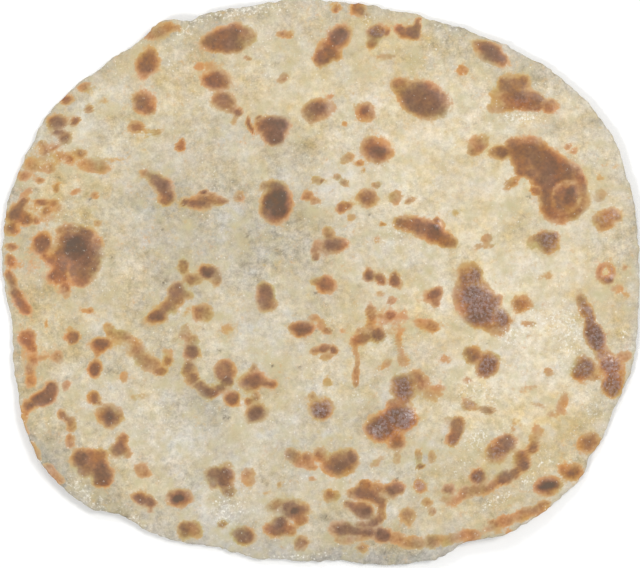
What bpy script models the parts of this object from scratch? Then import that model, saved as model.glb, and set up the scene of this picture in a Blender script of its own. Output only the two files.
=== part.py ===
"""A paratha: one hand-rolled flat bread, a soft square in outline.

Metres, +Z up. The bread rests on the flat middle of its underside at z = 0, and its origin is
below the middle of its outline. X runs along its longer side.

The dough is one solid. It thins towards a blunt rim, swells a little where it was rolled thicker,
and stands up in shallow blisters where steam lifted it. The rim lifts off the table in places.
"""

import math

import bmesh
import bpy

# Driving sizes, in metres.
LENGTH = 0.210
WIDTH = 0.187
BODY_THICKNESS = 0.0028
RIM_THICKNESS = 0.0014
RIM_BAND = 0.012
NOSE = 0.0006

# How square the outline is: 2 is an ellipse, and a larger power is squarer.
SQUARENESS = 2.3

# Where the rim stands out or falls back: bearing and half-width in degrees, rise in metres.
RIM_SWELLS = (
    (26, 12, 0.0020),
    (62, 16, -0.0025),
    (63, 2.5, 0.0007),
    (95, 8, 0.0006),
    (121.5, 3.5, 0.0028),
    (132, 8, -0.0017),
    (133, 2, 0.0006),
    (148, 6, 0.0009),
    (166, 9, 0.0014),
    (188, 7, -0.0025),
    (215, 10, 0.0050),
    (224, 2.5, 0.0010),
    (230, 3, -0.0017),
    (249, 9, -0.0029),
    (267, 9, -0.0015),
    (290, 6, 0.0016),
    (299, 3.5, -0.0014),
    (316, 11, 0.0022),
    (336, 4, -0.0010),
)

# Where the rim lifts off the table: bearing and half-width in degrees, lift in metres.
RIM_LIFTS = (
    (18, 26, 0.0022),
    (58, 14, 0.0008),
    (118, 20, 0.0032),
    (163, 16, 0.0012),
    (213, 20, 0.0026),
    (262, 12, 0.0007),
    (306, 17, 0.0035),
    (341, 10, 0.0006),
)
FLAT_SHARE = 0.62

# Slow swells of the rolled dough: wavelength and bearing of each, and its height.
DOUGH_WAVES = (
    (0.071, 20, 0.00022),
    (0.046, 105, 0.00016),
    (0.033, 64, 0.00010),
    (0.027, 151, 0.00008),
)

# Blisters: place of the middle, length, width, turn of the length in degrees, and height.
# Places and sizes are in millimetres.
BLISTERS_MM = (
    (-30, 81, 19, 11, 14, 0.9),
    (-57, 73, 10, 11, 0, 0.6),
    (-58, 60, 10, 10, 0, 0.6),
    (-35, 67, 12, 8, -12, 0.5),
    (-16, 50, 14, 11, 10, 0.8),
    (4, 78, 15, 8, 58, 0.8),
    (-1, 57, 13, 11, 12, 0.8),
    (15, 57, 9, 9, 0, 0.6),
    (34, 61, 20, 14, -22, 1.3),
    (18, 44, 13, 11, 0, 0.9),
    (56, 76, 15, 9, -38, 0.8),
    (66, 62, 19, 12, -14, 1.0),
    (64, 46, 20, 10, 8, 0.9),
    (79, 39, 20, 14, -48, 1.4),
    (82, 27, 16, 14, 0, 1.2),
    (75, 14, 11, 11, 0, 0.7),
    (94, 21, 11, 9, 0, 0.6),
    (-79, 12, 18, 23, 0, 1.5),
    (-54, 32, 15, 7, -52, 0.7),
    (-38, 28, 17, 7, 0, 0.7),
    (-14, 28, 13, 16, 0, 1.2),
    (4, 13, 14, 10, 0, 0.8),
    (35, 18, 26, 8, -21, 0.9),
    (-48, -5, 22, 8, 52, 0.6),
    (-18, -4, 9, 12, 0, 0.6),
    (51, -2, 12, 15, 0, 1.2),
    (56, -9, 17, 12, -32, 1.4),
    (55, -26, 9, 11, 0, 0.8),
    (92, -18, 8, 17, 18, 0.8),
    (93, -28, 16, 11, -20, 0.8),
    (24, -45, 19, 14, 22, 1.5),
    (0, -41, 11, 10, 0, 0.7),
    (7, -59, 15, 10, 0, 0.9),
    (60, -54, 12, 9, 28, 0.8),
    (-22, -32, 14, 10, 0, 0.7),
    (-35, -34, 16, 8, 30, 0.7),
    (-75, -61, 15, 11, -38, 1.0),
    (-32, -64, 12, 12, 0, 0.9),
    (-46, -70, 11, 9, 0, 0.7),
    (-10, -76, 15, 12, 30, 0.9),
    (19, -68, 19, 10, 0, 0.7),
    (84, -58, 16, 9, 38, 0.7),
)

# The mesh: quads across the top, and rings under the rim down to the flat middle.
TOP_CELLS = 56
UNDER_RINGS = (0.965, 0.90, 0.80, FLAT_SHARE)

DOUGH_COLOUR = (0.62, 0.55, 0.40, 1.0)
DOUGH_ROUGHNESS = 0.55


def ease(share):
    """A smooth step from 0 to 1 while share goes from 0 to 1."""
    t = min(max(share, 0.0), 1.0)
    return t * t * (3.0 - 2.0 * t)


def hump(bearing, at, half_width):
    """A smooth hump of height 1 around the bearing at, all three in degrees."""
    away = (bearing - at + 180.0) % 360.0 - 180.0
    return math.exp(-((away / half_width) ** 2))


def rim_radius(bearing):
    """Distance from the middle to the rim at a bearing in degrees."""
    angle = math.radians(bearing)
    across = abs(math.cos(angle)) / (LENGTH / 2)
    along = abs(math.sin(angle)) / (WIDTH / 2)
    radius = (across**SQUARENESS + along**SQUARENESS) ** (-1.0 / SQUARENESS)
    return radius + sum(rise * hump(bearing, at, wide) for at, wide, rise in RIM_SWELLS)


def lift(bearing, share):
    """Height of the underside: nothing over the flat middle, and up to the rim's lift."""
    at_rim = sum(rise * hump(bearing, at, wide) for at, wide, rise in RIM_LIFTS)
    return at_rim * ease((share - FLAT_SHARE) / (1.0 - FLAT_SHARE)) ** 1.5


def blister_height(x, y):
    """Height of the tallest blister over a point: each is a dome with a soft foot."""
    tallest = 0.0
    for x_mm, y_mm, length, width, turn, height in BLISTERS_MM:
        dx = x * 1000.0 - x_mm
        dy = y * 1000.0 - y_mm
        if abs(dx) > length or abs(dy) > length + width:
            continue
        angle = math.radians(turn)
        along = (dx * math.cos(angle) + dy * math.sin(angle)) / (length / 2)
        across = (dy * math.cos(angle) - dx * math.sin(angle)) / (width / 2)
        inside = 1.0 - math.hypot(along, across)
        tallest = max(tallest, height / 1000.0 * ease(inside * 1.6))
    return tallest


def dough_wave(x, y):
    """Slow unevenness of the rolled dough."""
    total = 0.0
    for wavelength, bearing, height in DOUGH_WAVES:
        angle = math.radians(bearing)
        run = x * math.cos(angle) + y * math.sin(angle)
        total += height * math.sin(math.tau * run / wavelength + bearing)
    return total


def thickness(x, y, inset):
    """Thickness of the dough at a point that lies inset metres in from the rim."""
    body = ease(inset / RIM_BAND)
    swell = (dough_wave(x, y) + blister_height(x, y)) * ease(inset / (RIM_BAND / 2))
    return RIM_THICKNESS + (BODY_THICKNESS - RIM_THICKNESS) * body + swell


def disc_place(u, v):
    """Bearing in degrees and share of the radius for a point of the square -1..1 by -1..1."""
    share = max(abs(u), abs(v))
    if share == 0.0:
        return 0.0, 0.0
    if abs(u) >= abs(v):
        return 45.0 * v / u + (0.0 if u > 0 else 180.0), share
    return 90.0 - 45.0 * u / v + (0.0 if v > 0 else 180.0), share


def flat_point(bearing, radius):
    """X and Y of a point at a bearing in degrees and a distance from the middle."""
    angle = math.radians(bearing)
    return radius * math.cos(angle), radius * math.sin(angle)


def add_top(mesh):
    """The top skin: a square grid wrapped on the outline. Returns its rows of vertices."""
    rows = []
    for j in range(TOP_CELLS + 1):
        row = []
        for i in range(TOP_CELLS + 1):
            bearing, share = disc_place(2.0 * i / TOP_CELLS - 1.0, 2.0 * j / TOP_CELLS - 1.0)
            reach = rim_radius(bearing) - NOSE
            x, y = flat_point(bearing, reach * share)
            z = lift(bearing, share) + thickness(x, y, reach * (1.0 - share))
            row.append(mesh.verts.new((x, y, z)))
        rows.append(row)
    for j in range(TOP_CELLS):
        for i in range(TOP_CELLS):
            corners = (rows[j][i], rows[j][i + 1], rows[j + 1][i + 1], rows[j + 1][i])
            mesh.faces.new(corners)
    return rows


def edge_loop(rows):
    """The top skin's outer vertices, anticlockwise from its lower corner."""
    last = TOP_CELLS
    loop = [rows[0][i] for i in range(last)]
    loop += [rows[j][last] for j in range(last)]
    loop += [rows[last][last - i] for i in range(last)]
    loop += [rows[last - j][0] for j in range(last)]
    return loop


def add_ring(mesh, upper, share, nose=False):
    """A ring of vertices under another one, joined to it. It bears the rim's nose if asked."""
    ring = []
    for vertex in upper:
        bearing = math.degrees(math.atan2(vertex.co.y, vertex.co.x))
        reach = rim_radius(bearing)
        radius = reach if nose else (reach - NOSE) * share
        x, y = flat_point(bearing, radius)
        z = lift(bearing, share) + (RIM_THICKNESS / 2 if nose else 0.0)
        ring.append(mesh.verts.new((x, y, z)))
    for k in range(len(upper)):
        after = (k + 1) % len(upper)
        mesh.faces.new((upper[after], upper[k], ring[k], ring[after]))
    return ring


def fit_to_size(mesh):
    """Stretch the outline to LENGTH by WIDTH and put the middle of its box over the origin."""
    for axis, size in ((0, LENGTH), (1, WIDTH)):
        places = [vertex.co[axis] for vertex in mesh.verts]
        low, high = min(places), max(places)
        for vertex in mesh.verts:
            vertex.co[axis] = (vertex.co[axis] - (low + high) / 2) * size / (high - low)


def dough_material():
    material = bpy.data.materials.new("baked_dough")
    material.use_nodes = True
    shader = material.node_tree.nodes["Principled BSDF"]
    shader.inputs["Base Color"].default_value = DOUGH_COLOUR
    shader.inputs["Roughness"].default_value = DOUGH_ROUGHNESS
    shader.inputs["Metallic"].default_value = 0.0
    return material


def make_paratha():
    mesh = bmesh.new()
    upper = edge_loop(add_top(mesh))
    upper = add_ring(mesh, upper, 1.0, nose=True)
    for share in (1.0, *UNDER_RINGS):
        upper = add_ring(mesh, upper, share)
    mesh.faces.new(list(reversed(upper)))
    fit_to_size(mesh)
    bmesh.ops.recalc_face_normals(mesh, faces=mesh.faces[:])
    data = bpy.data.meshes.new("paratha")
    mesh.to_mesh(data)
    mesh.free()
    data.shade_smooth()
    data.materials.append(dough_material())
    bread = bpy.data.objects.new("paratha", data)
    bpy.context.scene.collection.objects.link(bread)
    return bread


for old in list(bpy.data.objects):
    bpy.data.objects.remove(old, do_unlink=True)
make_paratha()
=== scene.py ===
"""The looks of the paratha: a dense skin over the CAD solid, its browning, and the studio.

The frame's solid gives the outline and both faces. This script adds what is finer than it: the
crinkled and layered rim, blisters, creases, and the browned spots, laid out in millimetres from
the middle of the bread.
"""

import math
import random
from collections import namedtuple

import bpy
import numpy as np
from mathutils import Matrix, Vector
from mathutils.bvhtree import BVHTree


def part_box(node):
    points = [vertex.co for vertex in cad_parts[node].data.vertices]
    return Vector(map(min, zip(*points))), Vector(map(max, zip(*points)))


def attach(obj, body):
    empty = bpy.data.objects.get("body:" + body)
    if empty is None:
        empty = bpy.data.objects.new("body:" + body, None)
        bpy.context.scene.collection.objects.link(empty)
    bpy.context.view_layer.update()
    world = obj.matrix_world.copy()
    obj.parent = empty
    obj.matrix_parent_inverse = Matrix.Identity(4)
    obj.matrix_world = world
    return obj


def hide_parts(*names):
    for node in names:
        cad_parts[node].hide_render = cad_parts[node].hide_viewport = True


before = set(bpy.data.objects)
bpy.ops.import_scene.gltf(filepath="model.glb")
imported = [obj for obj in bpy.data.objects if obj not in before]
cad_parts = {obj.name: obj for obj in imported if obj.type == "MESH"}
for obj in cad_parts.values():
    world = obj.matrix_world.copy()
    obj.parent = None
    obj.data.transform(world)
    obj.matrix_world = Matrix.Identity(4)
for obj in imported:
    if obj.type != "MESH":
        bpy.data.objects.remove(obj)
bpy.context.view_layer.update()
box_low, box_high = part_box("paratha")

MM = 0.001

# The mesh: cells across the top, half as many across the underside, and the layered rim.
TOP_CELLS = 264
UNDER_CELLS = TOP_CELLS // 2
# Each step round the rim's edge: degrees down from the top, and how far that layer falls back.
RIM_STEPS = ((58, 0.0), (22, 0.0), (0, 0.22), (-24, 0.04), (-60, 0.0))

# Browned spots of the top: x, y, length, width (mm), turn (degrees), depth of the browning.
# Depth 0.2 is straw, 0.45 tan, 0.7 red-brown, 0.9 brown and 1.2 grey-brown.
SPOTS_TOP_LEFT = (
    (-31.6, 78, 13, 4.6, 2, 0.9), (-56.6, 58, 5, 4.4, 0, 0.76), (-90, 44.2, 13, 8, 20, 0.14),
    (-93.4, 39.6, 13, 6, 10, 0.16), (-86.4, 42.4, 9, 6, 0, 0.16), (-76.4, 39, 14, 7, -8, 0.14),
    (-98, 36, 8, 6, 10, 0.15), (-36.6, 72, 10, 5, 0, 0.14), (-31, 64, 12, 10, -40, 0.1),
    (-53.3, 83, 12, 5.5, 24, 0.5), (-48.4, 84.2, 6, 2.6, -5, 0.4), (-57, 73, 10, 7.6, 58, 0.95),
    (-58, 60, 8.4, 8, 0, 0.86), (-60.6, 51.8, 5.6, 4.6, -20, 0.74), (-57.6, 50.4, 3.4, 3, 0, 0.24),
    (-54.2, 50.2, 3, 3.2, 0, 0.48), (-57.2, 48.8, 2.2, 1.8, 0, 0.25), (-46, 45.8, 4.6, 3.2, 75, 0.64),
    (-78, 65.2, 4.4, 4, 30, 0.52), (-83.8, 60.8, 5, 3.8, 15, 0.68), (-76, 57.5, 3.4, 3.2, 0, 0.66),
    (-71.6, 60.3, 3, 2.4, 0, 0.16), (-80.9, 53.9, 4.2, 2.4, 58, 0.86), (-87.3, 53.4, 7, 6, 10, 0.86),
    (-86.4, 50.2, 4.6, 2.4, -12, 0.68), (-84.5, 48.3, 4.4, 4.2, 0, 0.92), (-91, 45, 5.5, 3, -50, 0.5),
    (-90.5, 43, 3, 3, 0, 0.46), (-87.6, 45, 3.8, 1.9, 5, 0.44), (-85.5, 42.4, 5, 2.6, 10, 0.32),
    (-79, 43.2, 4, 2.8, 0, 0.62), (-82.6, 41.3, 3.2, 3.2, 0, 0.56), (-77, 39.8, 5, 3.4, 0, 0.34),
    (-73.2, 38.2, 8.4, 5, -10, 0.42), (-68, 41.2, 9, 1.8, 0, 0.16), (-94.9, 39, 4.4, 3.8, 0, 0.46),
    (-88.8, 38, 3.6, 4.2, 0, 0.42), (-91.6, 38, 5, 3, 0, 0.2), (-98.2, 35.8, 4.6, 3.6, 10, 0.52),
    (-92.5, 34.2, 2.8, 1.8, 20, 0.48), (-87.2, 31.5, 3.2, 3.4, 0, 0.62), (-80.6, 30.6, 4, 2.2, 10, 0.34),
    (-33, 79.9, 13.5, 7.4, 8, 0.98), (-31, 82, 12, 7.6, 20, 0.98), (-25.2, 81.8, 9.2, 6.6, -12, 0.66),
    (-24, 74.4, 3.8, 1.3, -20, 0.42), (-34.8, 66.9, 10.8, 6.2, -8, 0.98), (-39.6, 71.6, 5, 3.4, 0, 0.3),
    (-36, 72, 4, 3, 0, 0.26), (-32, 60.5, 7.6, 5.8, -18, 0.82), (-29.4, 58.2, 3.4, 4.2, 20, 0.44),
    (-28.4, 54.2, 2.8, 2.8, 0, 0.36), (-27, 56.5, 3, 3.2, 0, 0.76), (-23.4, 52.2, 6, 1.9, -62, 0.74),
    (-20.5, 55, 2.4, 1.8, 30, 0.68), (-15.6, 52.6, 11, 5.6, 4, 1.04), (-15.4, 49.4, 6.4, 7.2, 0, 1.02),
    (-12, 82.5, 6.4, 2.2, 0, 0.44), (-12.6, 68, 4.8, 3.6, 50, 0.42),
)

SPOTS_TOP_MIDDLE = (
    (30.4, 83.8, 5.6, 4.2, 0, 0.84), (-18.2, 51.4, 5, 6, 30, 0.94), (-12.8, 52, 5, 5, -30, 0.94),
    (6.3, 81.8, 9.8, 7.4, 45, 1.06), (1.6, 76.2, 10, 7.4, 52, 0.9), (-0.1, 73.6, 5.4, 4.4, 0, 0.66),
    (5, 75.6, 4.6, 4, 0, 0.54), (5.2, 91, 3, 3, 0, 0.76), (12.5, 91, 5.6, 5.2, -30, 0.74),
    (15, 89, 3, 2, -30, 0.4), (18.8, 83.4, 7.4, 5.4, 10, 0.94), (16.9, 79.7, 5, 4, 15, 0.6),
    (22, 83.4, 3, 3.6, 0, 0.74), (26.8, 83.6, 4.8, 3, -52, 0.84), (30.2, 82.3, 6.4, 3, 0, 0.88),
    (31.9, 84.8, 2.8, 5.4, 0, 0.8), (32.2, 87.2, 2.6, 2, 0, 0.7), (21.8, 75, 7.4, 2.4, 0, 0.32),
    (-1, 57.6, 10.6, 7.6, 12, 0.68), (-0.7, 58.2, 7, 5, 5, 0.96), (-2.8, 54.4, 5, 3, 0, 0.44),
    (3.8, 58.8, 4, 4, 0, 0.32), (3.2, 62, 2.4, 1.8, 0, 0.3), (14.7, 56.8, 8.4, 7, -30, 0.62),
    (14.5, 57.2, 4.8, 4.6, 0, 0.96), (8, 53, 2.6, 2, 0, 0.26), (33.4, 60.9, 18.2, 12.4, -22, 0.98),
    (34.8, 60.4, 14.4, 11.2, -16, 0.98), (27.2, 64.8, 9.4, 6.4, -30, 0.74), (18, 44, 11.8, 9.6, -6, 0.74),
    (18.8, 43.8, 9.2, 7.4, -12, 1), (8.8, 41.6, 5, 3.2, 38, 0.4), (13, 40, 2.8, 2.4, 0, 0.46),
    (14, 37.4, 1.4, 1.2, 0, 0.34), (-1.3, 34.3, 3.6, 2.6, 0, 0.44), (0.5, 34, 1.3, 1.3, 0, 0.8),
    (5.5, 35.4, 3.2, 2.2, -15, 0.54), (7.7, 33.5, 4, 3, -30, 0.44), (18.6, 32.7, 2.6, 2, 0, 0.56),
    (-26.8, 29, 4.6, 3.6, 50, 0.48), (-14.7, 26.8, 13.4, 10.3, 80, 1.2),
    (-15.2, 32.4, 6.4, 4.4, -25, 0.92), (-18.2, 32.2, 4.2, 4, 0, 0.6), (-4.4, 29.2, 4, 3.8, 0, 0.56),
    (-1.8, 27.6, 3.6, 2.6, -20, 0.46), (7.4, 25.5, 5.2, 3.8, 28, 0.84), (15.4, 28.2, 6.4, 5.6, 0, 0.84),
    (24.6, 29, 5.2, 4.8, 30, 0.44), (29.3, 27.5, 4, 2.4, 40, 0.5), (10.2, 22.1, 3.4, 2.6, 0, 0.3),
    (20.4, 19.9, 1.8, 1.8, 0, 0.62), (18.5, 14.6, 3, 3, 0, 0.16),
)

SPOTS_TOP_RIGHT = (
    (60.4, 65.6, 6, 6, 0, 0.68), (52.4, 46.2, 7.4, 6.2, 20, 0.42), (68.6, 36.6, 5, 4.4, -40, 0.84),
    (70.9, 31, 3.4, 2.8, 0, 0.7), (73.2, 59.8, 4, 3.4, -30, 0.54), (62.5, 58.6, 6, 3.4, 0, 0.56),
    (84, 35.6, 5, 7, 32, 0.68), (85.8, 31.6, 4.2, 10, 0, 0.66), (66.4, 58.4, 6, 3, 0, 0.5),
    (66.6, 66, 4, 5, 0, 0.76), (66.4, 67.2, 4, 3.4, 0, 0.54), (57.8, 61.6, 5, 7, 0, 0.3),
    (66.4, 40.6, 9, 6, -35, 0.88), (56, 76.4, 14.4, 6.6, -34, 0.8), (56.6, 76.1, 12.4, 4.8, -34, 1.02),
    (54.4, 74.6, 5, 2.6, -34, 0.48), (47, 70.6, 4.2, 3.4, -10, 0.44), (63, 65.2, 10.4, 7.4, 0, 0.7),
    (65.2, 62, 9.6, 7, -6, 0.98), (62, 61.5, 8.6, 8, 0, 0.78), (58.6, 58.2, 8, 4.6, 0, 0.36),
    (71, 61.4, 5.8, 4.2, -20, 0.84), (68.8, 59.2, 9, 4.4, -4, 0.72), (75.6, 58.6, 5.6, 5.2, 0, 0.66),
    (51.2, 44.4, 6, 4.6, 40, 0.58), (53.2, 47, 6.6, 4, 20, 0.46), (58.2, 43.6, 5, 4, 0, 0.52),
    (59.6, 44, 5, 4, -10, 0.98), (63.4, 44.6, 6, 7, 0, 0.72), (68.2, 44, 14, 9.6, -6, 1.02),
    (73.8, 40, 16, 11.4, -38, 1.04), (78.4, 36, 13, 12, 0, 0.98), (74.8, 34.4, 10, 7, -20, 0.94),
    (66.4, 37.6, 5.4, 5, -40, 0.78), (70.6, 34.4, 6, 4.4, -40, 0.76), (79.9, 28, 17.6, 17.4, 0, 0.84),
    (77.4, 25, 9, 7, 20, 0.96), (75.4, 29.6, 6, 9, 0, 0.94), (81.8, 29.2, 5.4, 8.4, -20, 1.06),
    (62.5, 33, 4.8, 3.4, 55, 0.48), (64.6, 34.6, 3, 1.8, 40, 0.38), (81.2, 45.4, 2.6, 2, 0, 0.5),
    (83.4, 43.8, 2.2, 2.2, 0, 0.38), (92, 35, 3, 2.4, 0, 0.2), (92, 29.2, 5, 5, 0, 0.34),
    (74.8, 14.2, 8.2, 8, 20, 0.94), (76.6, 15.6, 4.6, 5, 0, 0.88), (71.4, 15.2, 4, 3.4, 0, 0.6),
    (69.8, 14, 3.4, 5, 0, 0.34), (93.2, 21.3, 7, 7.6, 0, 0.6), (96.2, 23.2, 6, 4.4, -25, 0.6),
    (95, 8.4, 2.4, 2, 0, 0.16), (100.3, 5.5, 2.2, 1.6, 0, 0.38), (97.6, -1.6, 5.6, 4.6, 0, 0.26),
    (100.5, -3.2, 2.6, 2.2, 0, 0.24), (74.8, 3, 3.8, 3.6, 0, 0.26), (72.8, 2.5, 2.2, 2, 0, 0.22),
    (44.5, 23.7, 2.8, 3.2, 0, 0.16), (55.2, 15, 4, 3.6, 0, 0.42), (55.6, 12.6, 4.6, 2.2, 0, 0.22),
    (52, 12.6, 3.4, 2.2, 0, 0.32),
)

SPOTS_LEFT = (
    (-77.4, 16.2, 6, 5, 0, 0.98), (-85.2, 9.6, 5, 7, 0, 0.96), (-77.8, 8.2, 6, 8, 0, 1.06),
    (-97.6, 21.6, 4.6, 5.2, 0, 0.8), (-91, 24.4, 16, 11, 0, 0.18), (-90, 9.6, 18, 16, 0, 0.1),
    (-80.2, 9.6, 20, 21, 0, 0.3), (-64.4, -19.2, 14, 7, -40, 0.2), (-96, -24, 6, 18, 0, 0.14),
    (-93, -24, 12, 5, 0, 0.12), (-98.3, 26.8, 6, 3, 52, 0.72), (-97.4, 30, 6, 1.8, 40, 0.28),
    (-100.6, 23, 7.4, 6.2, 42, 1), (-102, 18.6, 5.4, 5, 20, 0.86), (-91.9, 27, 4.8, 2.8, -6, 0.72),
    (-88.2, 26.6, 5, 3.4, 5, 0.44), (-90.8, 24.2, 4, 2.8, 55, 0.64), (-93.8, 20.9, 3, 3, 0, 0.58),
    (-86.6, 25, 2.4, 2, 0, 0.4), (-74.5, 29, 2.4, 2.2, 0, 0.46), (-73.6, 20.2, 2.2, 2.2, 0, 0.54),
    (-102.3, 12.4, 3, 2.8, 0, 0.66), (-102.4, 7.4, 3.6, 4.6, 0, 0.58), (-100, 6, 5, 3, 0, 0.2),
    (-102.2, 1.4, 6.4, 3.4, -68, 0.74), (-100, -4, 9.4, 4.6, -68, 0.84), (-97.8, -7.4, 6, 4, -42, 0.76),
    (-80.6, 11.4, 14.6, 15.6, 0, 0.86), (-80.8, 11.8, 12.4, 12.6, 0, 1.2), (-79.2, 5, 10, 8.6, 0, 0.96),
    (-85.6, 6, 6, 8, -20, 0.92), (-86, 2.6, 6.4, 6, -30, 0.76), (-84.2, -1, 3.8, 4.4, 0, 0.62),
    (-83.8, -3.4, 2.6, 3, 0, 0.26), (-79, 1, 8, 4.6, 0, 0.7), (-74.6, 7.6, 6.4, 8.6, 0, 0.74),
    (-73.8, 12.8, 4.6, 6, 0, 0.62), (-81.6, 18, 12, 4.4, 2, 0.5), (-92, 13, 6.6, 8, 0, 1),
    (-90, 8.6, 6, 3, -45, 0.6), (-88.2, 8, 4, 4, 0, 0.68), (-76, -8.5, 2.8, 2.2, 0, 0.42),
    (-77.9, -8.6, 2, 1.4, 0, 0.26), (-90.5, -12.7, 1.7, 3.2, 0, 0.26), (-81.6, -17.4, 6, 5, 10, 0.82),
    (-82.6, -14.8, 2.4, 3, 0, 0.22), (-72.6, -19.7, 6.8, 4.8, 4, 0.96), (-73.9, -22.6, 2.2, 4, 0, 0.38),
    (-74.6, -28, 5.4, 6.6, 0, 1), (-97.3, -17.3, 5.6, 5.4, 0, 0.72), (-95.4, -20.6, 3.4, 5, 0, 0.6),
    (-95, -24.6, 4.4, 4.8, 0, 0.52), (-96, -28, 3.8, 4.4, 0, 0.5), (-95.4, -31.7, 3.8, 3.8, 0, 0.54),
    (-92, -24.2, 5, 1.6, 5, 0.28), (-86.8, -24, 4, 4, 0, 0.46), (-57, 36.4, 6.4, 3.6, -14, 0.52),
    (-54.6, 34.4, 7, 4.6, -46, 0.8), (-51.6, 31.2, 10, 6.4, -54, 1), (-51.2, 27.6, 5, 3.4, 0, 0.7),
    (-39.4, 27.5, 9.4, 6.2, 0, 0.72), (-40.8, 27, 7, 3.4, -6, 0.94), (-44.6, 27, 3, 2.6, 0, 0.8),
    (-34.6, 27.9, 8, 3.6, -10, 0.66), (-38.5, 30.4, 2.8, 2.6, 0, 1), (-35.8, 29.6, 3, 2, 0, 0.62),
    (-69.6, -14.6, 3.2, 4.4, 10, 0.42), (-66, -16.8, 8.4, 4, -14, 0.43),
    (-62.2, -18.4, 4.4, 4.4, 0, 0.32), (-60.4, -21.6, 6, 6.6, 0, 0.54), (-58.2, -25, 9, 6, -40, 0.52),
    (-55.4, -26.2, 7, 5, -30, 0.54), (-53, -28.6, 4.8, 3.4, 0, 0.72), (-50.6, -25.2, 4.2, 4.2, 0, 0.7),
    (-50.6, -22.4, 4, 3, 0, 0.24), (-64.8, -30.2, 3.2, 4.2, 0, 0.32), (-74.5, -37.6, 3.4, 4, 0, 0.88),
    (-72.6, -39.2, 2.6, 1.6, -40, 0.44),
)

SPOTS_CENTRE = (
    (13.6, -15.2, 4, 2.8, 0, 0.38), (36.6, -4, 7, 6, 30, 0.28), (22, -13, 14, 12, 0, 0.14),
    (2.4, -31.6, 3.6, 4, 0, 0.32), (-1.6, 12, 3.2, 6, -20, 0.44), (-1.7, 9, 2.8, 3.6, 0, 0.64),
    (3.6, 12.9, 9.4, 6.6, -6, 0.8), (3.4, 13, 6.2, 4.4, 0, 0.98), (2.4, 16.8, 4.2, 4, 0, 0.62),
    (7.6, 13.6, 4, 3.2, 0, 0.7), (-37, 4.4, 7.2, 5, -5, 1.04), (-34.4, 2, 4.4, 4.4, 0, 0.66),
    (-45.2, 5.6, 3.8, 6, 15, 0.66), (-43.2, 1.6, 4.4, 4.6, 0, 0.7), (-40.6, 2, 4.4, 3.6, 0, 0.5),
    (-47, -2.2, 5.8, 7, 0, 0.84), (-43.8, -3.4, 4, 3.4, 0, 0.54), (-48.6, -6, 8, 5.4, 48, 0.7),
    (-51.5, -8, 6.4, 5, 40, 0.74), (-54, -10.3, 8.2, 5.2, 12, 0.92), (-53.2, -10.6, 4.6, 3.2, 12, 1.04),
    (-38.4, -9.6, 7.6, 7.2, 0, 0.66), (-40.4, -8, 4, 3, 0, 0.58), (-44, -9, 3.4, 3, 0, 0.28),
    (-44.8, -15.8, 4.4, 6, 0, 0.38), (-42.4, -18.4, 5, 3.6, 0, 0.5), (-43, -22, 5, 5.8, 10, 0.9),
    (-43.7, -27.4, 4.4, 4.4, 0, 0.8), (-42.3, -31, 4.6, 4.4, -40, 0.76),
    (-39.6, -33.6, 5.4, 4.2, -40, 0.78), (-36.8, -35.4, 6.8, 4.8, -6, 1),
    (-33.4, -34.2, 5, 3.4, 22, 0.72), (-31.6, -28.6, 7, 7.6, 0, 0.8), (-31.2, -31.6, 4.6, 3.8, 0, 0.82),
    (-22.8, -31.8, 9.8, 6.6, 12, 0.96), (-17.6, -32.6, 6, 3.6, -12, 0.7),
    (-22.2, -28.2, 3.2, 3.2, 0, 0.54), (-29.3, -37.8, 4.9, 4.9, 0, 0.9), (-23.7, -38.4, 3.4, 3, 0, 0.64),
    (-21.6, -36.8, 3.4, 4, 0, 0.48), (-21.4, -42.8, 7.4, 6.6, 0, 1.02), (-18.2, -3.6, 6.4, 9, 8, 0.92),
    (-17.4, -6.4, 6.4, 6, 0, 0.72), (1.6, 0, 6.4, 6.2, 0, 0.84), (-1.6, 1, 3.6, 2.8, 0, 0.54),
    (16, 3.1, 4.4, 4.6, 0, 0.94), (19.5, 2.2, 4, 3.2, -20, 0.8), (24.3, 1.5, 4, 4.8, 0, 0.9),
    (26, 0.2, 3.2, 4, 0, 0.18), (23.4, -5.4, 3.4, 3.6, 0, 0.52), (19.5, -3, 4, 2.2, 0, 0.2),
    (23, -10.2, 3.4, 3.4, 0, 0.78), (18.7, -16.8, 5.4, 5.4, 0, 1), (13.4, -17.8, 8.4, 4.6, 26, 0.74),
    (16.2, -13.8, 3, 5, -15, 0.4), (16.6, -9.8, 3, 6.4, 8, 0.5), (19.8, -10.4, 4, 1.8, 0, 0.34),
    (12, -23.4, 1.8, 10, 0, 0.26), (11.5, -30.6, 2.7, 6.8, 0, 0.56), (25.8, -20, 2.4, 9, 8, 0.3),
    (27.2, -24.8, 4, 4.6, 20, 0.44), (21.5, -26.4, 5, 2.6, 30, 0.36), (34.4, -13, 8.8, 3.4, -10, 0.38),
    (37, -14, 4.6, 4, 0, 0.54), (27.4, -9.6, 4, 4, 0, 0.22), (26.2, -15.6, 3, 3, 0, 0.16),
    (-6.4, -14.4, 8.4, 5.4, -4, 0.96), (-2.6, -11, 4.6, 3.2, 0, 0.38), (0.2, -13.4, 3.4, 4, 0, 0.28),
    (2.4, -15.4, 4, 2.6, -35, 0.56), (7.2, -15.5, 2.8, 2.8, 0, 0.18), (1.4, -21, 4.6, 2.8, 12, 0.82),
    (4.2, -21.8, 3.6, 2.8, -10, 0.82), (-1.8, -22, 4, 3, 0, 0.52), (2, -23.8, 4.8, 2.2, 0, 0.32),
    (-31.3, -15, 4.4, 4.2, 0, 0.24), (38.1, -3, 5.8, 3.8, 46, 0.86), (37.9, -6, 3.4, 3, 0, 0.54),
    (28.6, 20, 9.6, 5.4, -14, 0.84), (33.4, 19, 9, 6.2, -25, 0.84), (37, 17.2, 9, 6.8, -28, 1.02),
    (40.8, 14.7, 8.8, 4.8, -18, 0.72), (38.3, 21.2, 2.8, 2.2, 0, 0.66),
)

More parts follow.
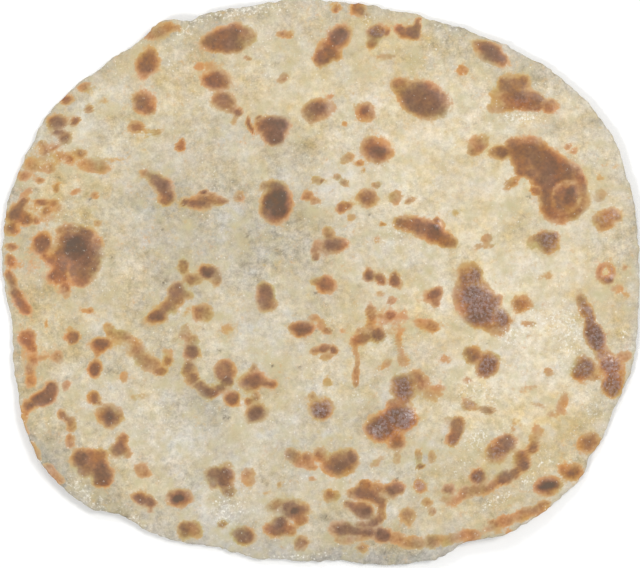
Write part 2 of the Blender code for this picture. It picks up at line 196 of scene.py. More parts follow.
SPOTS_RIGHT = (
    (57.4, -6, 4, 6, -40, 0.86), (59.5, -53.4, 10.6, 6.4, 42, 0.82), (32.2, -56.6, 2.8, 4.2, 20, 0.38),
    (32.9, -60, 3.6, 2, 0, 0.7), (36.6, -56.8, 2.8, 4.4, 0, 0.34), (94.6, 1.7, 3.6, 2.4, -20, 0.46),
    (54.4, -5.4, 8, 8, -40, 1), (50, -4, 13.4, 17.6, 8, 0.6), (56, -11.2, 17, 9.4, -34, 0.6),
    (50.8, 3, 5.6, 7, -10, 0.92), (47.6, 1.4, 4, 8, 8, 0.66), (48.6, 5.8, 6.4, 4, 20, 0.36),
    (50, -3.6, 9.4, 8.8, 0, 1.06), (52.6, -8.2, 12, 11, -30, 1.06), (59.6, -11.4, 8, 5.6, -48, 0.92),
    (66, -6.4, 6.6, 5.6, -30, 0.7), (68.4, -12.9, 4.4, 2.6, 0, 0.2), (54.8, -26.4, 7.4, 9.4, -25, 1),
    (50.2, -23.2, 6.4, 5.8, 15, 0.82), (41.3, -24.5, 4, 4.2, 0, 0.24), (47.8, -31.3, 3.4, 3.2, 0, 0.22),
    (75.2, -28.8, 3.6, 3.4, 0, 0.36), (85.6, -2.8, 4.6, 5, 0, 0.14), (86.2, -5.4, 3.2, 5.4, 20, 0.5),
    (87.4, -8.2, 4.2, 5.8, 25, 0.7), (89.2, -12.6, 4.2, 7, 18, 0.74), (90.4, -17.4, 6.2, 10.8, 16, 1),
    (93.2, -22.8, 6.2, 7, 20, 0.5), (95.9, -27, 7, 9, 20, 0.88), (96, -32.6, 7.2, 8.6, -20, 0.92),
    (99.2, -29, 3, 8, 0, 0.34), (100, -24, 5.8, 4, 10, 0.44), (86.7, -27.8, 8, 9.4, -28, 0.96),
    (89.6, -30.4, 6, 4, 0, 0.44), (79, -41.2, 5, 5, 0, 0.3), (80, -38, 3.8, 5.4, -15, 0.36),
    (76.2, -42.6, 5, 3.2, 0, 0.18), (72.6, -40, 7.4, 2.4, -22, 0.16), (68.4, -34.6, 7, 3, 15, 0.12),
    (27.6, -33.6, 8.8, 9.2, 0, 0.92), (27.4, -34, 5.4, 6, 0, 1.06), (30.6, -31.3, 8, 5.8, 10, 0.54),
    (33.2, -33, 6.4, 6.6, 0, 0.48), (37, -35.8, 8, 4.6, 6, 0.4), (25.6, -38.8, 8, 3.6, 8, 0.56),
    (26, -43.8, 12, 9.8, 10, 1.08), (19.8, -47.4, 10.8, 8.8, 32, 1.04), (25, -51.8, 6.6, 6.8, 0, 0.76),
    (25.1, -57, 3.6, 5, 0, 0.32), (0.4, -40.8, 9, 7.6, 0, 0.82), (0.4, -42, 6.2, 5, 0, 0.94),
    (-2.8, -37.2, 3.6, 3.6, 0, 0.46), (45.4, -47.2, 5, 8, -18, 0.78), (43.8, -50.6, 4.8, 4.4, 0, 0.78),
    (42, -44.4, 4.2, 3.2, 0, 0.16), (49.4, -39.6, 5.2, 5.6, 0, 0.54), (55, -41.5, 5, 3.4, 0, 0.58),
    (88.4, -52, 8, 6.2, 28, 0.76), (82.6, -62, 8, 6.4, 18, 0.82), (75, -66, 8.8, 6.6, 0, 0.7),
    (75.2, -66, 6.6, 4.6, 0, 1.16), (58, -55.2, 7.2, 7.2, 30, 0.68), (61.8, -51.8, 6.2, 5.6, 20, 0.94),
    (65.5, -45.4, 6, 4.4, 0, 0.12), (63.2, -47.4, 2.4, 3.2, 0, 0.24), (71.4, -48, 4.6, 5.4, 0, 0.24),
    (70.6, -52, 3.2, 5.4, 12, 0.44), (69.8, -54.2, 3.4, 3.8, 0, 0.84), (66.4, -58.2, 5.8, 7.6, 15, 0.98),
    (63.6, -62.2, 5.2, 3.8, 35, 0.82), (60.6, -63.4, 7, 4.4, 28, 0.86), (57.2, -65.6, 5.4, 3.6, 35, 0.6),
    (52.4, -67.4, 8.4, 3.8, 10, 0.54), (47.8, -68.6, 6.4, 4, 12, 0.48), (42.8, -71.2, 8, 4, 10, 0.36),
    (51.5, -63.3, 5.6, 5.6, 0, 0.94), (42, -67.6, 4, 3.8, 20, 0.64),
)

SPOTS_BOTTOM_LEFT = (
    (-35.2, -65.6, 4.6, 4, 0, 0.66), (-75.6, -57.4, 5, 7, 0, 0.82), (-97.4, -46.5, 10, 2.2, -74, 0.24),
    (-94, -55.2, 12, 2.6, -62, 0.4), (-88.2, -62.2, 10, 2.6, -50, 0.42),
    (-88.9, -35.2, 4.8, 6.6, -8, 0.88), (-91.4, -38.2, 9.4, 4.6, 14, 0.98),
    (-95.8, -39.8, 5.4, 3.6, 30, 0.84), (-97.4, -43, 2.6, 5, 0, 0.38), (-84, -33, 2.8, 4, 0, 0.38),
    (-85, -43, 3.6, 3.4, 0, 0.7), (-82.9, -44.5, 4, 2.8, -20, 0.5), (-82.1, -46.2, 3.8, 5.2, 0, 0.44),
    (-82.5, -51.6, 3.4, 5.2, 15, 0.5), (-69.4, -43, 8.8, 8.2, -20, 0.84),
    (-69.2, -43.2, 7.4, 6.8, -20, 1.14), (-59.5, -37.3, 9, 3, 18, 0.15), (-66.6, -54, 5.8, 5, 20, 0.92),
    (-65.4, -51.6, 3.8, 5, 0, 0.68), (-63.6, -55.8, 3.6, 3.6, 0, 0.46), (-78.2, -57.4, 7.2, 7.4, 0, 0.98),
    (-76.6, -60.6, 8.4, 6, 0, 0.84), (-72.6, -57, 4.8, 6.4, 0, 0.8), (-72.2, -61.8, 7.2, 9.8, 12, 1),
    (-71.9, -64.8, 5.2, 4.4, 0, 0.96), (-58.6, -61.6, 5.6, 4.6, -20, 0.48),
    (-58.2, -70.8, 9.6, 4.8, -24, 0.88), (-56.2, -74.4, 2.6, 2.6, 0, 0.4), (-46.5, -70.3, 9, 7, 0, 0.8),
    (-46.8, -70.4, 5.8, 4.2, 0, 1.16), (-44.2, -81, 6.8, 5.6, 0, 0.82), (-40.8, -81.2, 5, 6, 0, 0.54),
    (-34.8, -62.6, 8.2, 6.6, 0, 0.9), (-31.8, -63.2, 5.6, 8.4, 0, 1.02), (-30.6, -67.6, 4.6, 6, 0, 0.56),
    (-31.6, -59.4, 6, 3, 0, 0.28), (-24, -63.8, 6.2, 6.4, 0, 0.44), (-17.8, -69, 3, 2, 0, 0.16),
    (-13.6, -66, 1.8, 1.8, 0, 0.28), (-32.5, -79, 3.6, 2.4, 0, 0.66), (-25.3, -83, 7.8, 6.2, -14, 0.88),
    (-88, -49, 5, 4, 0, 0.12),
)

SPOTS_BOTTOM = (
    (3.4, -60, 4.4, 4.8, 0, 0.92), (10.2, -57.6, 4.4, 5.2, 0, 0.96), (21.6, -44.8, 5, 4, 35, 0.96),
    (82.4, -63, 4.4, 3, 0, 0.66), (15, -79.3, 8, 3, 0, 0.66), (10, -84, 12, 3.4, 0, 0.36),
    (10.4, -69, 4, 4, 0, 0.6), (-8.8, -74.2, 11, 7.2, -8, 0.86), (-8.4, -74.4, 5, 3.8, 0, 1.08),
    (-15, -72.6, 6, 4.8, 10, 0.54), (-6.4, -77.4, 5.4, 3.8, 0, 0.52), (-13.2, -78.8, 5.8, 5.2, 0, 1.06),
    (-14.6, -80.8, 8.8, 5.8, 10, 0.82), (-10, -81, 6, 4.6, 0, 0.52), (-6.5, -86, 5.4, 5.8, 0, 0.74),
    (-8.8, -56.6, 7.6, 5.2, -20, 0.64), (-4.4, -57.6, 4.2, 4.2, 0, 0.66),
    (-0.4, -56.4, 4.2, 5.2, 0, 0.66), (-5, -59.4, 8, 2.8, -8, 0.42), (6.8, -59.3, 12.6, 8.8, 8, 0.86),
    (6.4, -59.8, 9, 6, 12, 1.04), (-3, -64.2, 3, 1.9, 0, 0.32), (2.9, -69.8, 4.2, 4.2, 0, 0.66),
    (5.3, -69.4, 3.2, 3.8, 0, 0.46), (14.4, -68.6, 8.8, 4.8, -6, 0.98), (14.6, -65.8, 5, 3.6, 10, 0.76),
    (18.6, -70.8, 7, 3.8, -10, 0.84), (18.6, -67.2, 6, 4.6, 0, 0.58), (23.6, -67.4, 8.6, 5, 4, 0.96),
    (9.6, -72.4, 4.6, 2.8, -15, 0.64), (13.6, -74.4, 8.4, 4.6, -14, 0.84),
    (14.8, -74.8, 4.8, 3.4, 0, 1.02), (20, -75.4, 3.4, 7.4, 0, 0.56), (17.8, -78.2, 5.6, 4.6, 10, 0.8),
    (7.2, -80.8, 8.8, 5.6, -5, 0.96), (12, -81.4, 5.4, 4.2, 0, 0.94), (15.6, -81.8, 5.4, 4.4, 0, 0.94),
    (20.2, -82.6, 5.8, 5.2, 0, 0.98), (13.5, -87, 4.8, 3.4, 0, 0.48), (28.6, -76.6, 5.6, 6.2, 0, 0.52),
    (25, -83.6, 6.4, 4.2, -12, 0.48), (30.5, -85, 9.4, 5, -4, 0.47), (36.6, -84.6, 6.2, 5.2, 0, 0.64),
    (42, -84, 8.4, 4.8, 6, 0.41), (48.4, -82.6, 8.4, 4.8, 8, 0.44), (58.1, -79.5, 8.4, 3.2, 18, 0.36),
    (60.4, -77.5, 8.4, 3.8, 20, 0.44), (60, -81.2, 7, 1.6, 15, 0.2), (66.7, -75.7, 10.4, 4.4, 24, 0.48),
    (72.6, -73.4, 8.4, 4.2, 34, 0.5), (56.2, -78.2, 2.8, 2.2, 0, 0.48), (18, -59, 4, 3, 0, 0.26),
    (20.2, -57.4, 2.6, 2, 0, 0.2), (35, -71.5, 4.2, 3, 0, 0.46), (36.8, -74.8, 3.2, 2, 0, 0.44),
    (32.8, -66.5, 4.8, 4.8, 0, 0.6),
)

SPOTS = (
    SPOTS_TOP_LEFT
    + SPOTS_TOP_MIDDLE
    + SPOTS_TOP_RIGHT
    + SPOTS_LEFT
    + SPOTS_CENTRE
    + SPOTS_RIGHT
    + SPOTS_BOTTOM_LEFT
    + SPOTS_BOTTOM
)

# Thin browned rings and light rings: x, y, length, width, turn, band (mm), browning added.
RINGS = (
    (80.8, 33.3, 5, 1, 8, 1.6, -0.28), (84.6, 29.4, 0.8, 5, 8, 1.5, -0.2),
    (77.6, 31.2, 3.2, 0.8, 60, 1.2, -0.2), (50.2, -39.3, 2.8, 2.6, 0, 1.2, -0.3),
    (-31.4, -28.3, 6.2, 6.4, 0, 1.2, 0.2), (80.8, 28.7, 8.8, 10.4, -20, 1.9, -0.34),
    (93.9, 3.7, 4.6, 5.2, 0, 1.8, 0.5), (39.4, 19.8, 2.6, 2.2, 0, 0.9, 0.3),
    (41, 60.6, 3.2, 6.6, 20, 0.8, -0.2), (7.8, 25.9, 1.8, 1.4, 28, 0.8, -0.25),
    (20.6, 83.8, 2, 1.8, 0, 0.8, -0.3),
)

# Crust that blistered into wet, glistening grains, with painted sheen and painted highlight beads on it:
# x, y, length, width, turn, amount.
WET_CRUST = (
    (50.6, 3.4, 6, 7, 0, 0.8), (50.4, -3.6, 10, 10, 0, 0.7), (52.6, -8, 13, 12, -30, 0.7),
    (59.4, -11, 8, 6, -48, 1), (26, -44.7, 14, 9, 12, 0.7), (29.6, -44.6, 5, 6, 0, 1.3),
    (19.8, -47.4, 11, 9, 32, 0.6), (27.2, -34, 7, 8, 0, 1), (0.8, -41, 7, 6.4, 0, 1.2),
    (75, 14.4, 8.4, 8, 20, 0.9), (55.2, -26.4, 6, 8, -25, 1), (87.8, -8.4, 4, 7, 25, 1.4),
    (91.4, -17.4, 6, 11, 16, 0.9), (94.4, -24.4, 5, 6, 20, 1.1), (97, -31, 8, 12, 0, 1.3),
    (87, -26.8, 7, 9, -28, 0.8), (32.8, -66.5, 6, 6, 0, 1.6), (50.2, -39.4, 5, 5, 0, 1.4),
    (58, -55.6, 6, 6, 0, 0.6), (43.4, -53.2, 5, 3, 0, 1.2), (51.6, -63.6, 4, 4, 0, 0.5),
    (34, -57.4, 4, 4, 0, 1), (94.4, 3.8, 4, 5, 0, 1.2), (94.4, 22.4, 9, 6, 0, 0.7),
    (18.6, 83.6, 6, 4, 0, 0.6), (39, 19.8, 3, 3, 0, 0.9), (66, 60.4, 14, 7, 0, 0.35),
)

# Oily dough with painted glints, fine pale specks painted as highlights where the dough is also glossier:
# x, y, length, width, turn, amount.
GLINTS = (
    (-46, 82.6, 14, 5, 34, 0.6), (-30, 88.6, 30, 4, 10, 0.4), (-29, -74, 16, 16, 0, 0.7),
    (26, 88.6, 14, 3, -12, 0.6), (66, 55.2, 15, 5, 0, 1.3), (74.6, 64, 9, 4, -40, 0.5),
    (82, -17, 12, 26, 0, 1), (72, -12, 18, 14, 0, 0.7), (63, -17, 8, 7, 0, 1.1),
    (83, 52, 22, 12, -30, 0.25), (88, 42, 14, 16, 0, 0.25), (51.5, -50, 9, 9, 0, 1.1),
    (55, -36, 16, 8, -20, 0.8), (45, -60, 24, 14, 20, 0.5), (57, -71.6, 18, 4, 26, 1.2),
    (68, -64, 10, 4, 36, 1.1), (75, -58, 8, 6, 0, 0.9), (90, -42, 14, 16, 0, 0.7),
    (99.4, -16.2, 4, 4, 0, 1.2), (-5, -89.6, 34, 4, 0, 1), (-33, -74, 9, 10, 0, 0.6),
    (-77, -69.4, 22, 6, -38, 1.1), (-61, -77.6, 12, 5, -30, 1.2), (-50, -83.6, 8, 3, -10, 1),
    (-20, 91, 36, 5, 8, 1), (-44, 83.4, 8, 6, 40, 0.5), (-50, 72, 6, 8, 0, 0.8), (-66, 73, 10, 8, 0, 0.5),
    (-88, 45, 16, 14, 0, 0.5), (-94, -50, 4, 8, 0, 0.5), (23, 16.5, 12, 10, 0, 0.9),
    (16, 87.4, 6, 4, 0, 1), (42, 84, 14, 5, -16, 0.6), (36, 75, 20, 12, 0, 0.5), (12, -37, 8, 6, 0, 0.9),
    (3, -13, 5, 8, 0, 0.8), (60, 24, 26, 16, 0, 0.2), (60, 33, 14, 10, 0, 0.3), (40, 37, 16, 14, 0, 0.3),
    (68, 3, 14, 12, 0, 0.6), (47, -34, 14, 8, 0, 0.6), (-34, 34, 16, 10, 0, 0.4),
    (-50, -40, 10, 16, 30, 0.5), (-82, 22, 30, 30, 0, 0.3),
)

# Broad patches over the dough: x, y, length, width, turn, lighter or darker, and yellower or greyer. The
# broadest make the right side lighter and the left darker.
TINTS = (
    (-50.5, 84.2, 11, 5, 24, 0, 0.65), (93.9, 3.7, 7, 7, 0, 0, 0.45), (70, 14, 6, 7, 0, 0, 0.45),
    (50, 4, 8, 10, 0, 0, 0.45), (2.5, 15, 6, 6, 0, 0, 0.45), (16.5, 79.5, 6, 6, 0, 0, 0.5),
    (57, 44, 7, 6, 0, 0, 0.5), (-24, 68, 10, 8, -40, 0.04, 0), (-36, 46, 14, 8, 0, 0.025, 0),
    (-79, -66, 12, 8, -40, -0.04, 0), (84, 33, 18, 20, 0, 0, 0.25), (69, -42, 16, 24, 0, 0, 0.28),
    (23, -52, 14, 12, 0, 0, 0.3), (36, -18, 18, 18, 0, 0, 0.22), (-96, -44, 22, 24, 0, 0, 0.22),
    (99, 8, 10, 16, 0, 0, 0.25), (53, 41, 12, 12, 0, 0, 0.25), (8, 41, 14, 12, 0, 0, 0.28),
    (-54, -81, 12, 10, 0, 0, 0.25), (1, 87, 24, 10, 0, 0, 0.2), (-60, 71, 24, 14, 0, 0, 0.18),
    (69, 71, 14, 12, 0, 0, 0.22), (-15, -94, 30, 6, 0, 0.02, -0.4), (-98, 42, 14, 10, 0, 0.02, -0.25),
    (98, 52, 12, 12, 0, 0, -0.25), (-42, -64, 20, 14, 0, 0, -0.2), (-90, -58, 16, 7, -55, 0, -0.5),
    (95, -46, 26, 8, 62, 0.045, 0), (84, -64, 22, 7, 43, 0.045, 0), (-43.2, -81.4, 8, 7, 0, 0, 0.6),
    (-13, -72.5, 8, 5, 0, 0, 0.5), (-33, -62, 9, 9, 0, 0, 0.3), (-60, -20, 18, 8, -45, 0, 0.35),
    (50.3, -22.5, 7, 7, 0, 0, 0.5), (66.2, -6.6, 7, 7, 0, 0, 0.5), (23, 25, 16, 14, 0, 0, 0.4),
    (24, -52, 14, 12, 0, 0, 0.4), (31, -10, 22, 34, 0, 0, 0.22), (84, 35, 16, 22, 0, 0, 0.35),
    (68, 56, 14, 12, 0, 0, 0.4), (68, -52, 12, 12, 0, 0, 0.35), (86, -35, 12, 10, 0, 0, 0.2),
    (96, 54, 14, 14, 0, 0, -0.35), (92, -50, 16, 14, 0, 0, -0.22), (55, -12, 14, 22, 0, 0, 0.25),
    (53, -80, 16, 12, 0, 0, 0.4), (-38, 71, 16, 14, 0, 0, 0.25), (23, 64, 16, 26, 0, 0, 0.35),
    (-90, -36, 26, 14, 0, 0, 0.35), (-84, -12, 16, 28, 0, 0, 0.2), (-92, 30, 16, 22, 0, 0, 0.15),
    (-53, -36, 14, 14, 0, 0, -0.35), (-10, -46, 34, 18, 0, 0, -0.18), (8, -81, 14, 12, 0, 0, -0.35),
    (-15, -94, 28, 7, 0, 0, -0.4), (-22.6, -5, 5, 14, 0, -0.03, 0), (-51.6, 4, 6, 14, 0, -0.02, 0),
    (34, -57, 8, 8, 0, -0.03, -0.5), (-30.6, -31, 9, 16, 0, 0, -0.4), (-22, -42, 9, 8, 0, 0, 0.35),
    (-52, 84.5, 14, 7, 30, -0.03, -0.55), (-45, -84, 30, 7, -12, 0, -0.4),
    (-14, -89, 40, 7, -6, -0.01, -0.55), (12, -90.5, 40, 5.5, 0, -0.06, -0.9),
    (36, -88.5, 18, 4.5, 24, -0.06, -0.9), (-16, -62, 44, 40, 0, 0, -0.14),
    (-46, -46, 26, 50, 0, 0, -0.12), (-56, -26, 14, 14, 0, 0, -0.16), (-28, -82, 40, 14, 0, 0, -0.14),
    (-98, -2, 12, 30, 0, 0, 0.16), (-98, 14, 8, 12, 0, -0.035, 0.14), (-98, -30, 12, 18, 0, 0, 0.2),
    (-86, -26, 14, 16, 0, 0, 0.12), (-98, -52, 10, 14, 0, 0, 0.1), (-34, 86, 26, 10, 8, -0.025, 0),
    (1, 86, 14, 10, 0, -0.035, 0.18), (43, 84, 14, 10, -30, -0.025, 0), (-3, 60, 18, 20, 0, 0.025, -0.08),
    (66, 67, 22, 14, -35, -0.025, 0.18), (-42, 71, 16, 14, 0, -0.03, 0.08),
    (-56, 28, 14, 14, 0, -0.025, 0), (-12, 14, 20, 14, 0, -0.02, 0), (-70, -24, 16, 24, 0, -0.028, 0),
    (15, -60, 14, 14, 0, -0.025, 0), (29, -70, 12, 14, 0, -0.022, 0.1),
    (-68, -70, 14, 10, -35, -0.025, 0), (56, -77, 24, 10, 22, -0.022, 0),
    (-14, -44, 14, 12, 0, 0.022, -0.1), (-28, -42, 14, 12, 0, 0.018, 0),
    (48, -30, 18, 14, 0, 0.018, -0.05), (57, 28, 18, 16, 0, 0.018, 0), (86, 0, 16, 16, 0, 0.018, -0.12),
    (86, -12, 14, 12, 0, 0, -0.05), (78, 43, 22, 12, 0, -0.02, 0.12), (98, 42, 12, 12, 0, -0.028, 0.04),
    (70, -42, 16, 12, 0, 0, 0.14), (42, 56, 12, 12, 0, 0, -0.12), (56, 0, 14, 14, 0, -0.02, 0),
    (-84, 35, 16, 20, 0, 0.02, 0), (0, -72, 14, 12, 0, 0.018, -0.08), (30, -14, 18, 16, 0, 0, 0.1),
    (43, -42, 14, 14, 0, 0, 0.12), (-22, -56, 70, 56, 0, 0, -0.16), (-15, -44, 22, 16, 0, 0.045, -0.1),
    (-26, -70, 26, 16, 0, 0.01, -0.08), (-56, -22, 16, 22, 0, 0, -0.22), (-98, -8, 14, 54, 0, 0, 0.28),
    (-98, 14, 10, 12, 0, -0.055, 0.25), (-86, -26, 14, 14, 0, 0, 0.12), (-34, 86, 26, 12, 8, -0.04, 0),
    (1, 86, 16, 12, 0, -0.045, 0.2), (44, 84, 14, 12, -30, -0.04, 0), (-7, 63, 26, 26, 0, 0.04, -0.05),
    (66, 65, 26, 20, -35, -0.03, 0.08), (-70, 70, 12, 12, 0, -0.035, 0.05),
    (-56, 28, 14, 14, 0, -0.035, 0), (-3, 17, 34, 18, 0, -0.022, 0), (9, -14, 20, 12, 0, 0.018, 0),
    (54, -40, 26, 36, 0, 0.018, 0), (84, 1, 16, 14, 0, 0.02, -0.1), (-68, -71, 16, 12, -35, -0.045, 0),
    (15, -64, 14, 18, 0, -0.03, 0), (56, 14, 14, 14, 0, 0, -0.14), (42, 56, 14, 14, 0, 0, -0.16),
    (77, 43, 26, 14, 0, 0, 0.16), (42, -63, 16, 18, 0, 0, -0.12), (76, -57, 14, 12, 0, -0.02, 0.35),
    (68, -45, 14, 10, 0, 0.025, 0), (78, 0, 24, 20, 0, 0.03, 0), (-57, -77, 12, 10, 0, -0.04, -0.15),
    (-31, -81, 12, 10, 0, -0.03, -0.15), (46, 22, 90, 120, 0, 0.05, 0), (72, -25, 46, 50, 0, 0.05, -0.1),
    (42, 57, 22, 16, 0, 0.035, 0), (24, 42, 16, 14, 0, 0.03, 0), (52, 20, 24, 18, 0, 0.025, 0),
    (-24, 79, 18, 14, 0, 0.035, 0), (-53, 56, 28, 20, 0, 0.03, 0), (-30, 60, 10, 12, 0, 0.025, 0),
    (-80, 50, 22, 16, 0, 0.03, 0), (-34, 22, 66, 48, 0, -0.045, -0.22), (-10, 12, 26, 22, 0, -0.05, 0),
    (-52, 27, 20, 22, 0, -0.03, 0), (-48, 0, 20, 18, 0, -0.04, 0), (-28, -3, 26, 12, 0, 0.03, -0.2),
    (-42, -38, 18, 18, 0, -0.045, -0.25), (-50, -46, 12, 34, 35, 0.05, -0.1),
    (-20, -50, 26, 16, 0, 0.025, -0.15), (-92, 3, 20, 18, 0, -0.035, 0.3),
    (-88, -56, 18, 20, 0, -0.05, -0.1), (-98, -26, 10, 20, 0, -0.03, 0.1), (22, -42, 14, 26, 0, -0.03, 0),
    (12, -82, 26, 20, 0, -0.045, -0.1), (85, -54, 18, 22, 0, -0.04, 0.3),
    (70, 15, 16, 14, 0, -0.025, 0.1), (-38, 74, 18, 24, 0, -0.03, 0.25), (22, 88, 36, 10, 0, -0.03, 0.15),
    (60, 74, 24, 12, -35, -0.035, 0), (-84, 6, 34, 60, 0, 0, 0.3), (-50, 72, 40, 30, 0, 0, 0.25),
    (27, 80, 36, 16, 0, 0, 0.25), (60, -68, 44, 22, 0, 0, 0.22), (84, -50, 16, 22, 0, 0, 0.3),
    (-88, 40, 24, 24, 0, 0, 0.15), (28, -10, 34, 24, 0, 0, 0.12), (98, -14, 12, 40, 0, -0.01, 0.2),
    (-22, -10, 14, 32, 0, 0, -0.25), (-44, -58, 26, 32, 0, 0, -0.32), (-28, -76, 34, 16, 0, 0.01, -0.4),
    (-12, -46, 18, 16, 0, 0, -0.28), (66, -22, 30, 30, 0, 0, -0.12),
    (85.5, -47.5, 8, 10, -30, -0.01, 0.45), (61, -72.6, 9, 6, 20, -0.01, 0.45),
    (99.5, -11.5, 5, 8, 0, -0.01, 0.4), (98.5, -3, 8, 8, 0, -0.01, 0.35),
    (-66, -76, 22, 6, -30, -0.02, 0.1), (-93, -56, 5, 30, 33, -0.09, 0.1),
    (-86.5, -64.5, 10, 4, -42, -0.09, 0.1), (-97, -47, 3, 10, 15, -0.06, 0.1),
)

# Pores burnt through the skin: x, y and width.
PORES = (
    (-51.6, 0.8, 1.5), (-1.7, -2.9, 1.4), (68.5, 28.7, 1.4), (-12.5, 10.6, 1.2), (-14, 11.4, 0.8),
    (-31.7, -43.8, 1.3), (-30.2, -43.9, 1), (-33.8, -22, 1.6), (25.2, -63.8, 1.1), (24.4, -65, 1),
    (-75.8, 28.1, 1.2), (16.4, 22.8, 1.2), (-52.2, 17.8, 1), (-69, 9, 1.1), (2, -76.6, 1.2),
    (54.8, -19, 1.1), (40, -51.5, 1), (-38.5, -14.6, 1), (-6.8, -27.4, 1.1), (4, -14.8, 1),
    (-16, -26.8, 1.2), (-24.2, 16, 0.9),
)

# Fine creases of the skin, dented into the relief and darkened by painted shade: from x, y to x, y, and
# depth in millimetres.
CREASES = (
    (-52, 80.5, -44, 85.5, 0.12), (-47, 82.4, -38, 88, 0.12), (-55, 77, -51, 81.6, 0.08),
    (-30, 86.5, -12, 88.6, 0.06), (-34, 75, -24.8, 64.6, 0.16), (-32, 75.6, -26, 68, 0.1),
    (-30, 68.6, -25.4, 63.8, 0.1), (-34.4, 50, -27, 45.6, 0.12), (-29.6, 50.4, -16.6, 43.2, 0.1),
    (-36, 46, -30, 43.4, 0.08), (46.6, -78, 52.4, -74.6, 0.12), (48.4, -78.6, 53, -76, 0.1),
    (45.6, -76.4, 50, -74.2, 0.08), (-20, -12, -12, -10.4, 0.08), (-22, 14, -8, 16, 0.06),
    (-24, 9, -10, 10.6, 0.06),
)

# Where the rim leaves an even curve: bearing and spread in degrees, and millimetres out.
NICKS = (
    (228, 2, -0.5), (288.5, 2, -0.6), (309, 1.4, -0.7), (28.5, 3, -0.4), (326.5, 1.4, -0.8),
    (316, 4, -0.4), (300, 3, -0.6), (20, 3, -1), (65, 3, -0.9), (75, 4, -0.5), (106, 6, -0.7),
    (117.4, 2.2, -1.8), (124, 3, -0.5), (180, 8, 0.9), (193, 5, 0.6), (205, 4, 1), (216, 4, -0.6),
    (234, 3, -0.5), (262, 3, -1), (273.5, 4, -1.2), (306, 2.5, 0.8), (323, 1.8, 0.8), (346, 5, 0.6),
)

# How the browning fades at a spot's edge, in millimetres, and the share of it that the edge has.
EDGE_OUTSIDE = 1.2
CORE_DEPTH = 3.0
EDGE_SHARE = 0.12

# The spots' drawing is a little larger than the bread's own millimetres, and shifted.
DRAWING_SCALE = 1.002
DRAWING_SHIFT = (0.28, 0.73)

# The skin's rim, in millimetres: how round its edge is, how far it stays inside the solid's
# rim, the least half of its height, the foot's lift, and how far in the look of the rim fades.
NOSE = 0.62
RIM_MARGIN = 0.2
LEAST_HALF = 0.3
FOOT_LIFT = 0.02
RIM_FADE = 3.2

# Heights are read a little nearer the middle, where a ray is sure to hit the solid's face.
TOP_INWARD = 0.992
EDGE_INWARD = 0.985
UNDER_INWARD = 0.995

# The underside: its share of the foot's radius, the half sizes its spots lie within, and how
# far off its noise is read, so that it isn't the top's.
UNDER_SHARE = 0.988
UNDER_HALF_LENGTH = 102
UNDER_HALF_WIDTH = 90
UNDER_SHIFT = 300.0

# How wide a crease is to each side, and how deep the deepest is, in millimetres.
CREASE_HALF_WIDTH = 0.45
DEEPEST_CREASE = 0.16

# How many cells the noise has each way before it repeats.
NOISE_CELLS = 128

# The bake map: the bread's span in metres, and the scale and centre of each face on the map.
MAP_SPAN = 0.2105
TOP_SCALE, TOP_CENTRE = 0.75 / MAP_SPAN, (0.385, 0.655)
LOW_SCALE, LOW_CENTRE = 0.37 / MAP_SPAN, (0.80, 0.172)
MAP_RING_STEP = 0.0007

# The camera, in metres: the width it sees, the level it sees it at, and where it looks.
SEEN_WIDTH = 0.2114
SEEN_LEVEL = 0.0008
VIEW_CENTRE = (-0.00048, -0.00058)

# The floor's size and how far below the bread it is, in metres.
FLOOR_SIZE = 6.0
FLOOR_GAP = 0.0002

# The studio: the even surround's strength, and each lamp's name, width, power and place.
SURROUND = 0.56
LAMPS = (
    ("key", 0.44, 7.3, (0.75, 0.45, 1.15)),
    ("left", 0.25, 4.2, (-0.65, -0.45, 0.9)),
    ("back", 0.25, 2.5, (-0.25, 0.85, 0.8)),
)

# One side of the bread: its points, how far in from the rim they lie, and their browning.
Face = namedtuple("Face", "x y z inset brown")


def smooth(low, high, value):
    """A smooth step from 0 to 1 while the array value goes from low to high."""
    t = np.clip((value - low) / (high - low), 0.0, 1.0)
    return t * t * (3.0 - 2.0 * t)


def noise(x, y, size, seed):
    """Smooth noise from -1 to 1 with features of the given size, at arrays of points."""
    table = np.random.default_rng(seed).uniform(-1.0, 1.0, (NOISE_CELLS, NOISE_CELLS))
    u, v = x / size, y / size
    i, j = np.floor(u).astype(int), np.floor(v).astype(int)
    s, t = u - i, v - j
    s, t = s * s * (3 - 2 * s), t * t * (3 - 2 * t)
    i, j = i % NOISE_CELLS, j % NOISE_CELLS
    i1, j1 = (i + 1) % NOISE_CELLS, (j + 1) % NOISE_CELLS
    low = table[i, j] * (1 - s) + table[i1, j] * s
    high = table[i, j1] * (1 - s) + table[i1, j1] * s
    return low * (1 - t) + high * t


def rim_noise(bearings, size, seed):
    """Noise along the rim, one value for each bearing."""
    return noise(bearings * 100, bearings * 0, size, seed)


def turned(x, y, at_x, at_y, turn):
    """Coordinates along and across a feature that lies at a point, turned by degrees."""
    angle = math.radians(turn)
    dx, dy = x - at_x, y - at_y
    along = dx * math.cos(angle) + dy * math.sin(angle)
    return along, dy * math.cos(angle) - dx * math.sin(angle)


def depth_inside(along, across, length, width):
    """Rough distance inside an ellipse's edge, negative outside it."""
    share = np.hypot(along / (length / 2), across / (width / 2))
    share = np.maximum(share, 0.05)
    return (1.0 / share - 1.0) * np.hypot(along, across) * 0.5 + (1.0 - share) * width / 4


def drawn(x, y):
    """Where a point of the top lies in the drawing of its spots, in millimetres."""
    return DRAWING_SCALE * x + DRAWING_SHIFT[0], DRAWING_SCALE * y + DRAWING_SHIFT[1]


def warped(x, y):
    """Points moved a little, so that spots drawn at them get uneven edges."""
    wx = x + 0.6 * noise(x, y, 6.5, 1) + 0.4 * noise(x, y, 2.4, 2)
    wy = y + 0.6 * noise(x, y, 6.5, 3) + 0.4 * noise(x, y, 2.4, 4)
    return wx, wy


